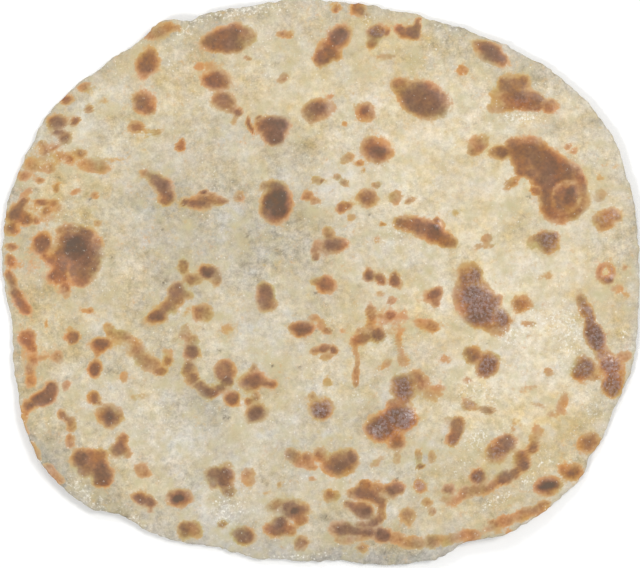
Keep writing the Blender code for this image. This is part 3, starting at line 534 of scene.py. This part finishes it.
def browning(x, y, spots, shift=0.0):
    """Browning at each point: each spot has a soft tan edge and a darker, uneven core."""
    wx, wy = warped(x + shift, y)
    wobble = 0.8 * noise(x + shift, y, 3.4, 5) + 0.4 * noise(x + shift, y, 1.6, 6)
    brown = np.zeros_like(x)
    for at_x, at_y, length, width, turn, depth in spots:
        mid_x, mid_y = warped(np.array(at_x + shift), np.array(at_y))
        reach = length / 2 + width / 2 + 2 * EDGE_OUTSIDE
        close = np.flatnonzero((np.abs(wx - mid_x) < reach) & (np.abs(wy - mid_y) < reach))
        along, across = turned(wx[close], wy[close], mid_x, mid_y, turn)
        inside = depth_inside(along, across, length, width)
        core = min(CORE_DEPTH, 0.30 * min(length, width))
        sunk = inside + wobble[close] * min(1.0, core / 2) * smooth(0.0, core, inside)
        deep = 1.0 - (1.0 - np.clip(sunk / core, 0.0, 1.0)) ** 1.4
        edge = EDGE_SHARE * smooth(-EDGE_OUTSIDE, 0.0, inside)
        full = depth * (0.70 + 0.27 * depth) * (1.0 + 0.5 / min(length, width))
        spot = full * (edge + (1.0 - EDGE_SHARE) * deep)
        had = brown[close]
        both = np.minimum(had, spot) * np.clip(1.0 - np.maximum(had, spot), 0.0, 1.0)
        brown[close] = np.maximum(had, spot) + 0.5 * both
    return brown


def add_rings(x, y, brown, rings):
    """The browning with each thin ring added to it, or taken from it."""
    for at_x, at_y, length, width, turn, band, depth in rings:
        along, across = turned(x, y, at_x, at_y, turn)
        inside = depth_inside(along, across, length, width)
        brown = brown + depth * np.exp(-((inside / (band / 2)) ** 2))
    return np.maximum(brown, 0.0)


def patches(x, y, rows, column):
    """The sum of soft patches, each as strong as its row says in the given column."""
    total = np.zeros_like(x)
    for row in rows:
        along, across = turned(x, y, row[0], row[1], row[4])
        share = (along / (row[2] / 2)) ** 2 + (across / (row[3] / 2)) ** 2
        total += row[column] * np.exp(-share)
    return total


def crease_depth(x, y):
    """Depth in mm of the fine creases at each point."""
    depth = np.zeros_like(x)
    for x0, y0, x1, y1, deep in CREASES:
        run, rise = x1 - x0, y1 - y0
        length = math.hypot(run, rise)
        along = np.clip(((x - x0) * run + (y - y0) * rise) / length**2, 0.0, 1.0)
        away = np.hypot(x - x0 - along * run, y - y0 - along * rise)
        ends = np.sin(math.pi * np.clip(along, 0.02, 0.98))
        depth = np.maximum(depth, deep * ends * np.exp(-((away / CREASE_HALF_WIDTH) ** 2)))
    return depth


def pores(x, y):
    """How far each point lies in a burnt pore, from 0 to 1."""
    total = np.zeros_like(x)
    for at_x, at_y, width in PORES:
        total += np.exp(-(((x - at_x) ** 2 + (y - at_y) ** 2) / (width / 2) ** 2))
    return np.clip(total, 0, 1)


def underside_spots(count=230, seed=11):
    """Browned spots of the hidden underside, of the same sizes and depths as the top's."""
    dice = random.Random(seed)
    rows = []
    for _ in range(count):
        bearing, share = dice.uniform(0, math.tau), math.sqrt(dice.uniform(0.0, 0.93))
        size = 3.0 + 8.4 * dice.random() ** 2.6
        depth = min(1.15, 0.22 + 0.085 * size + dice.uniform(-0.1, 0.25))
        x = UNDER_HALF_LENGTH * share * math.cos(bearing)
        y = UNDER_HALF_WIDTH * share * math.sin(bearing)
        longer = size * dice.uniform(1.0, 1.9)
        rows.append((x, y, longer, size, dice.uniform(0, 180), depth))
    return rows


def disc_places(cells):
    """Bearing and share of the radius for the vertices of a square grid wrapped on a disc."""
    line = np.linspace(-1.0, 1.0, cells + 1)
    u, v = np.meshgrid(line, line)
    u, v = u.ravel(), v.ravel()
    share = np.maximum(np.abs(u), np.abs(v))
    safe_u = np.where(u == 0, 1e-9, u)
    safe_v = np.where(v == 0, 1e-9, v)
    flat = np.abs(u) >= np.abs(v)
    sideways = math.pi / 4 * v / safe_u + np.where(u > 0, 0.0, math.pi)
    upright = math.pi / 2 - math.pi / 4 * u / safe_v + np.where(v > 0, 0.0, math.pi)
    return np.where(flat, sideways, upright), share


def border(cells):
    """Indices of a grid's outer vertices, anticlockwise from its lower corner."""
    row = cells + 1
    lower = list(range(cells))
    right = [j * row + cells for j in range(cells)]
    upper = [cells * row + cells - i for i in range(cells)]
    left = [(cells - j) * row for j in range(cells)]
    return np.array(lower + right + upper + left)


def grid_faces(cells, first, up):
    """Quads of a square grid whose vertices start at index first."""
    row = cells + 1
    j, i = np.divmod(np.arange(cells * cells), cells)
    low = first + j * row + i
    quads = np.stack([low, low + 1, low + row + 1, low + row], axis=1)
    return quads if up else quads[:, ::-1]


def smoothed(values, cells, times):
    """Grid values averaged with their neighbours, to take the solid's facets away."""
    grid = values.reshape(cells + 1, cells + 1).copy()
    for _ in range(times):
        inner = grid[1:-1, 1:-1]
        beside = grid[1:-1, :-2] + grid[1:-1, 2:] + grid[:-2, 1:-1] + grid[2:, 1:-1]
        grid[1:-1, 1:-1] = 0.4 * inner + 0.15 * beside
    return grid.ravel()


def solid_tree():
    """The CAD solid as a tree that rays can hit."""
    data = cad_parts["paratha"].data
    points = [vertex.co.copy() for vertex in data.vertices]
    return BVHTree.FromPolygons(points, [tuple(face.vertices) for face in data.polygons])


def rim_radii(tree, bearings, levels=16, far=0.2):
    """Distance in mm to the solid's rim at each bearing: the widest of several levels."""
    low, high = box_low.z, box_high.z
    radii = []
    for bearing in bearings:
        outward = Vector((math.cos(bearing), math.sin(bearing), 0.0))
        best = 0.0
        for level in range(1, levels):
            start = outward * far + Vector((0, 0, low + (high - low) * level / levels))
            hit = tree.ray_cast(start, -outward)[0]
            if hit is not None:
                best = max(best, hit.xy.length)
        radii.append(best / MM)
    return np.array(radii)


def nicks(bearings):
    """How far the rim stands out of, or back from, the solid's even curve."""
    total = 0.0 * bearings
    for middle, spread, out in NICKS:
        apart = (bearings - math.radians(middle) + math.pi) % math.tau - math.pi
        total += out * np.exp(-((apart / math.radians(spread)) ** 2))
    return total


def rim_outline(tree, bearings):
    """Distance in mm to the skin's rim at each bearing: the solid's, crinkled and nicked."""
    crinkle = 0.32 * rim_noise(bearings, 2.6, 31)
    crinkle += 0.22 * rim_noise(bearings, 1.1, 32)
    return rim_radii(tree, bearings) + crinkle + nicks(bearings) - RIM_MARGIN


def reach_function(bearings, radii):
    """A function that gives the rim's distance at any array of angles."""
    order = np.argsort(bearings % math.tau)
    known, known_radii = (bearings % math.tau)[order], radii[order]
    return lambda angles: np.interp(angles % math.tau, known, known_radii, period=math.tau)


def face_heights(tree, x, y, from_above):
    """Height in mm of the solid's top or underside at each point."""
    start_z = 0.1 if from_above else -0.1
    ray = Vector((0, 0, -1.0 if from_above else 1.0))
    heights = []
    for px, py in zip(x * MM, y * MM):
        hit = tree.ray_cast(Vector((px, py, start_z)), ray)[0]
        heights.append(0.0 if hit is None else hit.z / MM)
    return np.array(heights)


def top_relief(x, y, brown, inset):
    """What the skin adds to the solid's top, in mm."""
    swell = 0.22 * smooth(0.25, 0.95, brown)
    ripple = 0.055 * noise(x, y, 5.2, 21) + 0.04 * noise(x, y, 2.6, 22)
    ripple += 0.03 * noise(x, y, 1.5, 23)
    crust = 0.10 * np.clip(patches(x, y, WET_CRUST, 5), 0, 1) * noise(x, y, 1.7, 24)
    return (swell + ripple + crust - crease_depth(x, y)) * smooth(0.0, 2.5, inset)


def top_face(tree, reach, edge):
    """The top in mm: the solid's face with its browning and the skin's own relief."""
    bearings, share = disc_places(TOP_CELLS)
    radius = reach(bearings) - NOSE
    x, y = radius * share * np.cos(bearings), radius * share * np.sin(bearings)
    inset = radius * (1.0 - share)
    plain_z = face_heights(tree, x * TOP_INWARD, y * TOP_INWARD, True)
    plain_z = smoothed(plain_z, TOP_CELLS, 10)
    sx, sy = drawn(x, y)
    brown = add_rings(sx, sy, browning(sx, sy, SPOTS), RINGS)
    z = plain_z + top_relief(sx, sy, brown, inset)
    z[edge] = 0.5 * (z[edge] + plain_z[edge])
    return Face(x, y, z, inset, brown)


def under_face(tree, reach):
    """The underside in mm: a coarser grid that dimples upwards between its browned spots."""
    bearings, share = disc_places(UNDER_CELLS)
    radius = (reach(bearings) - NOSE) * UNDER_SHARE
    x, y = radius * share * np.cos(bearings), radius * share * np.sin(bearings)
    z = face_heights(tree, x * UNDER_INWARD, y * UNDER_INWARD, False)
    z = smoothed(z, UNDER_CELLS, 4)
    brown = browning(x, y, underside_spots(), UNDER_SHIFT)
    dimple = 0.10 + 0.10 * noise(x, y, 9, 41) + 0.06 * noise(x, y, 3.2, 42)
    z = z + np.clip(dimple - 0.12 * smooth(0.3, 0.9, brown), 0.0, 1.0)
    return Face(x, y, z, radius * (1 - share), brown)


def rim_layers(bearings, radii, top_z, under_z):
    """Points in mm of each ring of the rim, from below the top's edge down to the foot."""
    cos, sin = np.cos(bearings), np.sin(bearings)
    half = np.maximum((top_z - under_z) / 2, LEAST_HALF)
    middle = under_z + half
    split = np.clip(0.55 + 0.45 * rim_noise(bearings, 9.0, 33), 0, 1)
    layers = []
    for degrees, back in RIM_STEPS:
        angle = math.radians(degrees)
        out = radii - NOSE + NOSE * math.cos(angle) - back * split
        layers.append(np.stack([out * cos, out * sin, middle + half * math.sin(angle)], axis=1))
    foot = radii - NOSE
    foot_z = np.maximum(under_z, FOOT_LIFT)
    layers.append(np.stack([foot * cos, foot * sin, foot_z], axis=1))
    return layers


def skin_faces(rings, first_under):
    """Faces of the whole skin: top, rim, underside, and the strip that joins the last two."""
    quads = [grid_faces(TOP_CELLS, 0, True)]
    for upper, lower in zip(rings, rings[1:]):
        after_upper, after_lower = np.roll(upper, -1), np.roll(lower, -1)
        quads.append(np.stack([upper, lower, after_lower, after_upper], axis=1))
    quads.append(grid_faces(UNDER_CELLS, first_under, False))
    faces = [tuple(quad) for group in quads for quad in group.tolist()]
    foot = rings[-1].tolist()
    inner = (first_under + border(UNDER_CELLS)).tolist()
    for k in range(len(inner)):
        a, b, c = foot[2 * k], foot[2 * k + 1], foot[(2 * k + 2) % len(foot)]
        p, q = inner[k], inner[(k + 1) % len(inner)]
        faces += [(a, p, b), (b, p, q), (b, q, c)]
    return faces


def rim_look(inset):
    """How much a point looks like the rim: 1 at the edge, fading inwards."""
    return np.exp(-np.maximum(inset, 0) / RIM_FADE)


def skin_values(top, under, edge):
    """What the shader reads at each vertex of the skin, by name."""
    sx, sy = drawn(top.x, top.y)
    none = np.zeros(len(under.x))
    # How deep each crease is, as a share of the deepest, which sets its painted shade.
    crease_shade = crease_depth(sx, sy) / DEEPEST_CREASE
    pairs = {
        "brown": (top.brown, under.brown),
        "tone": (patches(sx, sy, TINTS, 5), 0.03 * noise(under.x, under.y, 30, 51)),
        "warm": (patches(sx, sy, TINTS, 6), 0.3 * noise(under.x, under.y, 40, 52)),
        "rim": (rim_look(top.inset), rim_look(under.inset)),
        "wet": (np.clip(patches(sx, sy, WET_CRUST, 5), 0, 1.4), none),
        # How strong the painted glints are; the underside has a faint share of them all over.
        "glint": (np.clip(patches(sx, sy, GLINTS, 5), 0, 1.5), none + 0.15),
        "pore": (pores(sx, sy), none),
        "crease_shade": (np.clip(crease_shade, 0, 1), none),
    }
    rim_edge = np.tile(edge, len(RIM_STEPS) + 1)
    return {
        name: np.concatenate([above, above[rim_edge], below])
        for name, (above, below) in pairs.items()
    }


def make_bread():
    """The bread's mesh: a top grid, a layered rim and a coarser under grid, all one skin."""
    tree = solid_tree()
    edge = border(TOP_CELLS)
    edge_bearings = disc_places(TOP_CELLS)[0][edge]
    radii = rim_outline(tree, edge_bearings)
    reach = reach_function(edge_bearings, radii)
    top = top_face(tree, reach, edge)
    edge_x, edge_y = top.x[edge] * EDGE_INWARD, top.y[edge] * EDGE_INWARD
    edge_under = face_heights(tree, edge_x, edge_y, False)
    layers = rim_layers(edge_bearings, radii, top.z[edge], edge_under)
    under = under_face(tree, reach)

    first_ring = len(top.x)
    first_under = first_ring + len(layers) * len(edge)
    rings = [edge] + list(np.arange(first_ring, first_under).reshape(len(layers), len(edge)))
    top_points = np.stack([top.x, top.y, top.z], axis=1)
    under_points = np.stack([under.x, under.y, under.z], axis=1)
    points = np.concatenate([top_points, *layers, under_points]) * MM

    data = bpy.data.meshes.new("paratha_skin")
    data.from_pydata(points.tolist(), [], skin_faces(rings, first_under))
    data.validate()
    for name, array in skin_values(top, under, edge).items():
        layer = data.attributes.new(name, "FLOAT", "POINT")
        layer.data.foreach_set("value", array.astype(np.float32))
    add_bake_map(data, points, rings, first_under)
    for polygon in data.polygons:
        polygon.use_smooth = True
    bread = bpy.data.objects.new("paratha_skin", data)
    bpy.context.scene.collection.objects.link(bread)
    return bread


def add_bake_map(data, points, rings, first_under):
    """A flat map of both faces: the top large, the underside small in the free corner."""
    flat = points[:, :2].copy()
    bearing = np.arctan2(flat[:, 1], flat[:, 0])
    grown = flat.copy()
    half_way = len(rings) // 2
    for step, ring in enumerate(rings[1:], start=1):
        out = MAP_RING_STEP * (step if step <= half_way else len(rings) - step)
        grown[ring, 0] = flat[rings[0], 0] + out * np.cos(bearing[ring])
        grown[ring, 1] = flat[rings[0], 1] + out * np.sin(bearing[ring])
    low_side = np.zeros(len(points), dtype=bool)
    low_side[first_under:] = True
    for ring in rings[half_way + 1 :]:
        low_side[ring] = True

    corner_vertex = np.zeros(len(data.loops), dtype=int)
    data.loops.foreach_get("vertex_index", corner_vertex)
    starts = np.zeros(len(data.polygons), dtype=int)
    totals = np.zeros(len(data.polygons), dtype=int)
    data.polygons.foreach_get("loop_start", starts)
    data.polygons.foreach_get("loop_total", totals)
    face_low = np.logical_or.reduceat(low_side[corner_vertex], starts)
    corner_low = np.repeat(face_low, totals)
    x, y = grown[corner_vertex].T
    u = np.where(corner_low, LOW_CENTRE[0] - x * LOW_SCALE, TOP_CENTRE[0] + x * TOP_SCALE)
    v = np.where(corner_low, LOW_CENTRE[1] + y * LOW_SCALE, TOP_CENTRE[1] + y * TOP_SCALE)
    layer = data.uv_layers.new(name="OFBake")
    layer.data.foreach_set("uv", np.stack([u, v], axis=1).ravel())


class Nodes:
    """A small helper that adds shader nodes and links them."""

    def __init__(self, material):
        material.use_nodes = True
        self.tree = material.node_tree
        self.shader = self.tree.nodes["Principled BSDF"]

    def link(self, source, target):
        """Join an output socket to an input socket."""
        self.tree.links.new(source, target)

    def put(self, value, socket):
        """Link a socket's output to the socket, or set a plain value on it."""
        if isinstance(value, bpy.types.NodeSocket):
            self.link(value, socket)
        else:
            socket.default_value = value

    def attribute(self, name):
        """What the skin says at each vertex under the given name."""
        node = self.tree.nodes.new("ShaderNodeAttribute")
        node.attribute_name = name
        return node.outputs["Fac"]

    def math(self, operation, a, b=0.0, c=0.0, clamp=False):
        """The result of one operation on numbers or sockets."""
        node = self.tree.nodes.new("ShaderNodeMath")
        node.operation = operation
        node.use_clamp = clamp
        for socket, value in zip(node.inputs, (a, b, c)):
            self.put(value, socket)
        return node.outputs[0]

    def times(self, a, b, clamp=False):
        """The product a * b."""
        return self.math("MULTIPLY", a, b, clamp=clamp)

    def fit(self, value, gain, offset, clamp=False):
        """The value times gain, plus offset."""
        return self.math("MULTIPLY_ADD", value, gain, offset, clamp)

    def step(self, value, low, high):
        """A smooth step from 0 at low to 1 at high."""
        node = self.tree.nodes.new("ShaderNodeMapRange")
        node.interpolation_type = "SMOOTHSTEP"
        self.put(value, node.inputs["Value"])
        node.inputs["From Min"].default_value = low
        node.inputs["From Max"].default_value = high
        return node.outputs["Result"]

    def place(self, shift):
        """The place in the bread's own metres, moved by the shift."""
        place = self.tree.nodes.new("ShaderNodeTexCoord").outputs["Object"]
        if not shift:
            return place
        move = self.tree.nodes.new("ShaderNodeVectorMath")
        move.operation = "ADD"
        self.link(place, move.inputs[0])
        move.inputs[1].default_value = (shift, shift * 0.7, shift * 0.3)
        return move.outputs[0]

    def noise(self, size_mm, detail=2.0, rough=0.5, shift=0.0, signed=False):
        """Noise with features about size_mm across: from 0 to 1, or around 0 when signed."""
        node = self.tree.nodes.new("ShaderNodeTexNoise")
        self.link(self.place(shift), node.inputs["Vector"])
        node.inputs["Scale"].default_value = 1000.0 / (size_mm * 2.0)
        node.inputs["Detail"].default_value = detail
        node.inputs["Roughness"].default_value = rough
        node.normalize = not signed
        return node.outputs["Fac"]

    def cells(self, size_mm, shift):
        """Small round specks about size_mm apart: how near a speck's middle, and its chance."""
        node = self.tree.nodes.new("ShaderNodeTexVoronoi")
        self.link(self.place(shift), node.inputs["Vector"])
        node.inputs["Scale"].default_value = 1000.0 / size_mm
        split = self.tree.nodes.new("ShaderNodeSeparateColor")
        self.link(node.outputs["Color"], split.inputs[0])
        near = self.math("SUBTRACT", 1.0, self.step(node.outputs["Distance"], 0.10, 0.48))
        return near, split.outputs[0]

    def mix(self, factor, a, b, blend="MIX"):
        """Colour a, turned into b as the factor goes from 0 to 1, or blended as said."""
        node = self.tree.nodes.new("ShaderNodeMix")
        node.data_type = "RGBA"
        node.blend_type = blend
        self.put(factor, node.inputs["Factor"])
        self.put(a, node.inputs["A"])
        self.put(b, node.inputs["B"])
        return node.outputs["Result"]

    def over(self, colour, amount, share, other):
        """The colour with a share of another one over it, as far as the amount says."""
        return self.mix(self.times(amount, share, clamp=True), colour, other)

    def ramp(self, value, stops):
        """A colour from a list of places from 0 to 1 and their colours."""
        node = self.tree.nodes.new("ShaderNodeValToRGB")
        elements = node.color_ramp.elements
        for place, colour in stops[2:]:
            elements.new(place)
        for element, (place, colour) in zip(elements, stops):
            element.position = place
            element.color = colour
        self.put(value, node.inputs["Fac"])
        return node.outputs["Color"]

    def signed_ramp(self, value, *colours):
        """A colour from a value around 0, with the colours spaced evenly from -1 to 1."""
        places = [index / (len(colours) - 1) for index in range(len(colours))]
        return self.ramp(self.fit(value, 0.5, 0.5, clamp=True), list(zip(places, colours)))


def srgb(red, green, blue):
    """A linear colour from the usual 0 to 255 values."""
    parts = [v / 255 for v in (red, green, blue)]
    linear = [v / 12.92 if v <= 0.04045 else ((v + 0.055) / 1.055) ** 2.4 for v in parts]
    return (*linear, 1.0)


# The crust's colour by the depth of its browning, as a share of the deepest.
DEEPEST_BROWN = 1.3
CRUST_COLOURS = (
    (0.0, srgb(198, 180, 142)),
    (0.09, srgb(190, 160, 116)),
    (0.154, srgb(186, 154, 110)),
    (0.246, srgb(180, 144, 100)),
    (0.385, srgb(164, 125, 82)),
    (0.508, srgb(153, 112, 73)),
    (0.6, srgb(143, 103, 69)),
    (0.692, srgb(134, 97, 67)),
    (0.769, srgb(126, 90, 64)),
    (0.846, srgb(117, 83, 59)),
    (0.962, srgb(100, 75, 55)),
    (1.0, srgb(94, 74, 58)),
)


def dough_colour(n, grain, mottle):
    """The dough: lighter or darker, whiter or yellower, mottled alike at every scale."""
    rim = n.attribute("rim")
    dapple = n.noise(0.9, 2.0, 1.0, 6.1, signed=True)
    stain = n.noise(9.0, 3.0, 1.0, 1.7, signed=True)
    olive = n.noise(5.0, 2.0, 1.0, 2.9, signed=True)
    warmth = n.fit(stain, 0.44, n.attribute("warm"))
    warmth = n.fit(mottle, -0.36, warmth)
    warmth = n.fit(rim, -0.35, warmth)
    whiter, plain, yellower = srgb(190, 184, 171), srgb(196, 183, 156), srgb(198, 175, 125)
    dough = n.signed_ramp(warmth, whiter, plain, yellower)

    # Some stretches of the skin are calm and others are lively.
    lively = n.fit(n.step(n.noise(11.0, 1.0, 0.5, 13.1), 0.30, 0.70), 0.40, 0.70)
    uneven = n.fit(mottle, 0.17, n.times(dapple, 0.18))
    light = n.fit(n.attribute("tone"), 3.0, 0.95)
    light = n.fit(grain, 0.10, light)
    light = n.fit(uneven, lively, light)
    light = n.fit(rim, -0.12, light)
    # Painted shade darkens each crease, over its real dent in the relief.
    light = n.fit(n.attribute("crease_shade"), -0.12, light)
    dough = n.mix(1.0, dough, light, "MULTIPLY")
    dough = n.over(dough, olive, 0.6, srgb(190, 178, 139))

    # A faint change between greener and pinker dough.
    blush = n.noise(3.0, 3.0, 1.0, 12.3, signed=True)
    blush = n.signed_ramp(blush, (0.984, 1.008, 1.0, 1.0), (1.016, 0.992, 1.0, 1.0))
    return n.mix(1.0, dough, blush, "MULTIPLY")


def browning_depth(n, brown, grain, fleck, mottle):
    """The browning, with its edges broken up and its depth uneven."""
    ragged = n.fit(fleck, 0.66, -0.33)
    ragged = n.math("ADD", ragged, n.fit(grain, 0.60, -0.30))
    window = n.math("SUBTRACT", n.step(brown, 0.05, 0.55), n.step(brown, 0.8, 1.3))
    depth = n.fit(ragged, n.fit(window, 0.55, 0.4), brown)
    return n.fit(n.times(mottle, -0.06), brown, depth)


def crust_colour(n, depth):
    """The browned crust: redder or paler, and yellower or bluer, but calm where it is dark."""
    crust = n.ramp(n.math("DIVIDE", depth, DEEPEST_BROWN, clamp=True), CRUST_COLOURS)
    rust = n.noise(8.0, 2.0, 1.0, 7.3, signed=True)
    ochre = n.noise(6.0, 2.0, 1.0, 8.9, signed=True)
    calm = n.fit(n.step(depth, 0.75, 1.15), -0.7, 1.0)
    hue = n.fit(rust, 0.78, n.fit(n.attribute("warm"), 0.8, 0.05))
    hue = n.times(hue, calm)
    redder = n.signed_ramp(hue, (0.89, 1.11, 1.28, 1.0), (1.13, 0.84, 0.60, 1.0))
    crust = n.mix(1.0, crust, redder, "MULTIPLY")
    ochre = n.times(ochre, calm)
    yellower = n.signed_ramp(ochre, (1.0, 0.98, 1.18, 1.0), (1.0, 1.01, 0.76, 1.0))
    return n.mix(1.0, crust, yellower, "MULTIPLY")


def add_wet_grains_and_sheen(n, colour, brown, wet):
    """Pale grains on the wet, blistered crust, partly painted sheen, and beads painted as its highlights.
    """
    browned = n.step(brown, 0.15, 0.5)
    # Pale grains of the wet crust, partly painted sheen.
    web = n.fit(wet, 0.12, n.noise(0.5, 2.0, 0.6, 2.0))
    grain_sheen = n.times(n.times(n.step(web, 0.50, 0.74), browned), n.step(wet, 0.05, 0.6))
    colour = n.over(colour, grain_sheen, 0.30, srgb(184, 168, 172))
    # Beads painted as highlights on the wet crust.
    highlight_bead, chance = n.cells(0.6, 2.0)
    highlight_bead = n.times(highlight_bead, n.step(n.fit(wet, 0.5, chance), 1.25, 1.55))
    return n.over(colour, n.times(highlight_bead, browned), 0.60, srgb(214, 204, 204))


def add_painted_glints(n, colour, brown, glint):
    """Painted highlights on the oily dough: its glints, the fine grit between them, and a few loose
    flecks painted as tiny highlights.
    """
    grit = n.times(n.step(n.noise(0.55, 2.0, 0.6, 11.0), 0.54, 0.70), glint)
    colour = n.over(colour, grit, 0.35, srgb(164, 152, 128))
    # Pale specks painted as oily glints.
    shine = n.fit(glint, 0.16, n.noise(0.5, 2.0, 0.6, 3.0))
    colour = n.over(colour, n.step(shine, 0.66, 0.86), 0.62, srgb(240, 236, 222))
    # Bright beads painted as highlights on drops of oil.
    drop_highlight, chance = n.cells(0.9, 5.0)
    drop_highlight = n.times(drop_highlight, n.step(n.fit(glint, 0.30, chance), 1.08, 1.2))
    colour = n.over(colour, drop_highlight, 0.80, srgb(246, 242, 230))
    # A few loose flecks on the plain dough, painted as tiny highlights.
    highlight_fleck, chance = n.cells(0.8, 15.0)
    highlight_fleck = n.times(n.times(highlight_fleck, n.step(chance, 0.93, 1.0)), n.step(brown, 0.7, 0.2))
    return n.over(colour, highlight_fleck, 0.45, srgb(246, 242, 230))


def add_pores(n, colour):
    """The few burnt pores."""
    hole = n.times(n.attribute("pore"), n.step(n.noise(0.5, 1.0, 0.5, 9.0), 0.42, 0.56))
    return n.over(colour, hole, 0.80, srgb(74, 62, 48))


def set_surface(n, oil, fleck):
    """The gloss and the fine bumps, in mm. Oil adds gloss and makes the bumps stronger."""
    rough = n.fit(fleck, 0.20, 0.38)
    n.link(n.fit(oil, -0.20, rough), n.shader.inputs["Roughness"])
    n.shader.inputs["Specular IOR Level"].default_value = 0.5
    coarse = n.noise(1.7, 2.0, 0.5, 4.0, signed=True)
    fine = n.noise(0.7, 1.0, 0.5, 5.0, signed=True)
    height = n.times(coarse, n.fit(oil, 0.07, 0.05))
    height = n.fit(fine, n.fit(oil, 0.04, 0.015), height)
    bump = n.tree.nodes.new("ShaderNodeBump")
    bump.inputs["Strength"].default_value = 1.0
    bump.inputs["Distance"].default_value = MM
    n.link(height, bump.inputs["Height"])
    n.link(bump.outputs["Normal"], n.shader.inputs["Normal"])


def bread_material():
    """The whole bread's one material: dough, browned crust, and what lies on them."""
    material = bpy.data.materials.new("baked_dough")
    n = Nodes(material)
    brown, wet, glint = n.attribute("brown"), n.attribute("wet"), n.attribute("glint")
    grain = n.noise(0.5, 1.0, 0.5)
    fleck = n.noise(1.3, 1.0, 0.5, 0.3)
    mottle = n.noise(12.0, 3.0, 1.0, 0.7, signed=True)
    depth = browning_depth(n, brown, grain, fleck, mottle)
    dough = dough_colour(n, grain, mottle)
    colour = n.mix(n.step(depth, 0.0, 0.20), dough, crust_colour(n, depth))
    # Pale grains with painted sheen, and painted highlight beads, on the wet crust.
    colour = add_wet_grains_and_sheen(n, colour, brown, wet)
    # Painted highlights: glints and flecks on the oily dough.
    colour = add_painted_glints(n, colour, brown, glint)
    n.link(add_pores(n, colour), n.shader.inputs["Base Color"])
    set_surface(n, n.math("ADD", wet, glint, clamp=True), fleck)
    return material


def make_floor():
    """A plain pale floor just below the bread."""
    bpy.ops.mesh.primitive_plane_add(size=FLOOR_SIZE, location=(0, 0, box_low.z - FLOOR_GAP))
    floor = bpy.context.object
    floor.name = "floor"
    material = bpy.data.materials.new("pale_floor")
    n = Nodes(material)
    tint = n.noise(40.0, 2.0, 0.5)
    shade = n.ramp(tint, ((0.0, (0.93, 0.93, 0.925, 1.0)), (1.0, (0.96, 0.96, 0.955, 1.0))))
    n.link(shade, n.shader.inputs["Base Color"])
    n.shader.inputs["Roughness"].default_value = 0.9
    n.shader.inputs["Specular IOR Level"].default_value = 0.1
    floor.data.materials.append(material)


def make_light(name, size, energy, place):
    """A round soft lamp that faces the middle of the bread."""
    lamp = bpy.data.lights.new(name, "AREA")
    lamp.shape = "DISK"
    lamp.size = size
    lamp.energy = energy
    holder = bpy.data.objects.new(name, lamp)
    holder.location = place
    holder.rotation_euler = (-Vector(place)).to_track_quat("-Z", "Y").to_euler()
    bpy.context.scene.collection.objects.link(holder)


def make_studio():
    """An even white surround and three soft lamps, so that relief shows a little."""
    world = bpy.data.worlds.new("studio")
    world.use_nodes = True
    back = world.node_tree.nodes["Background"]
    back.inputs["Color"].default_value = (1.0, 1.0, 1.0, 1.0)
    back.inputs["Strength"].default_value = SURROUND
    bpy.context.scene.world = world
    for lamp in LAMPS:
        make_light(*lamp)
    bpy.context.scene.view_settings.view_transform = "Standard"


def make_camera():
    """Straight above the bread, which fills the frame from side to side."""
    camera = bpy.data.cameras.new("camera")
    camera.sensor_width = 36.0
    camera.lens = 100.0
    height = SEEN_WIDTH * camera.lens / camera.sensor_width
    holder = bpy.data.objects.new("camera", camera)
    holder.location = (*VIEW_CENTRE, box_low.z + SEEN_LEVEL + height)
    bpy.context.scene.collection.objects.link(holder)
    bpy.context.scene.camera = holder


make_camera()
make_studio()
make_floor()
bread = make_bread()
bread.data.materials.append(bread_material())
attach(bread, "root")
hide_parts("paratha")
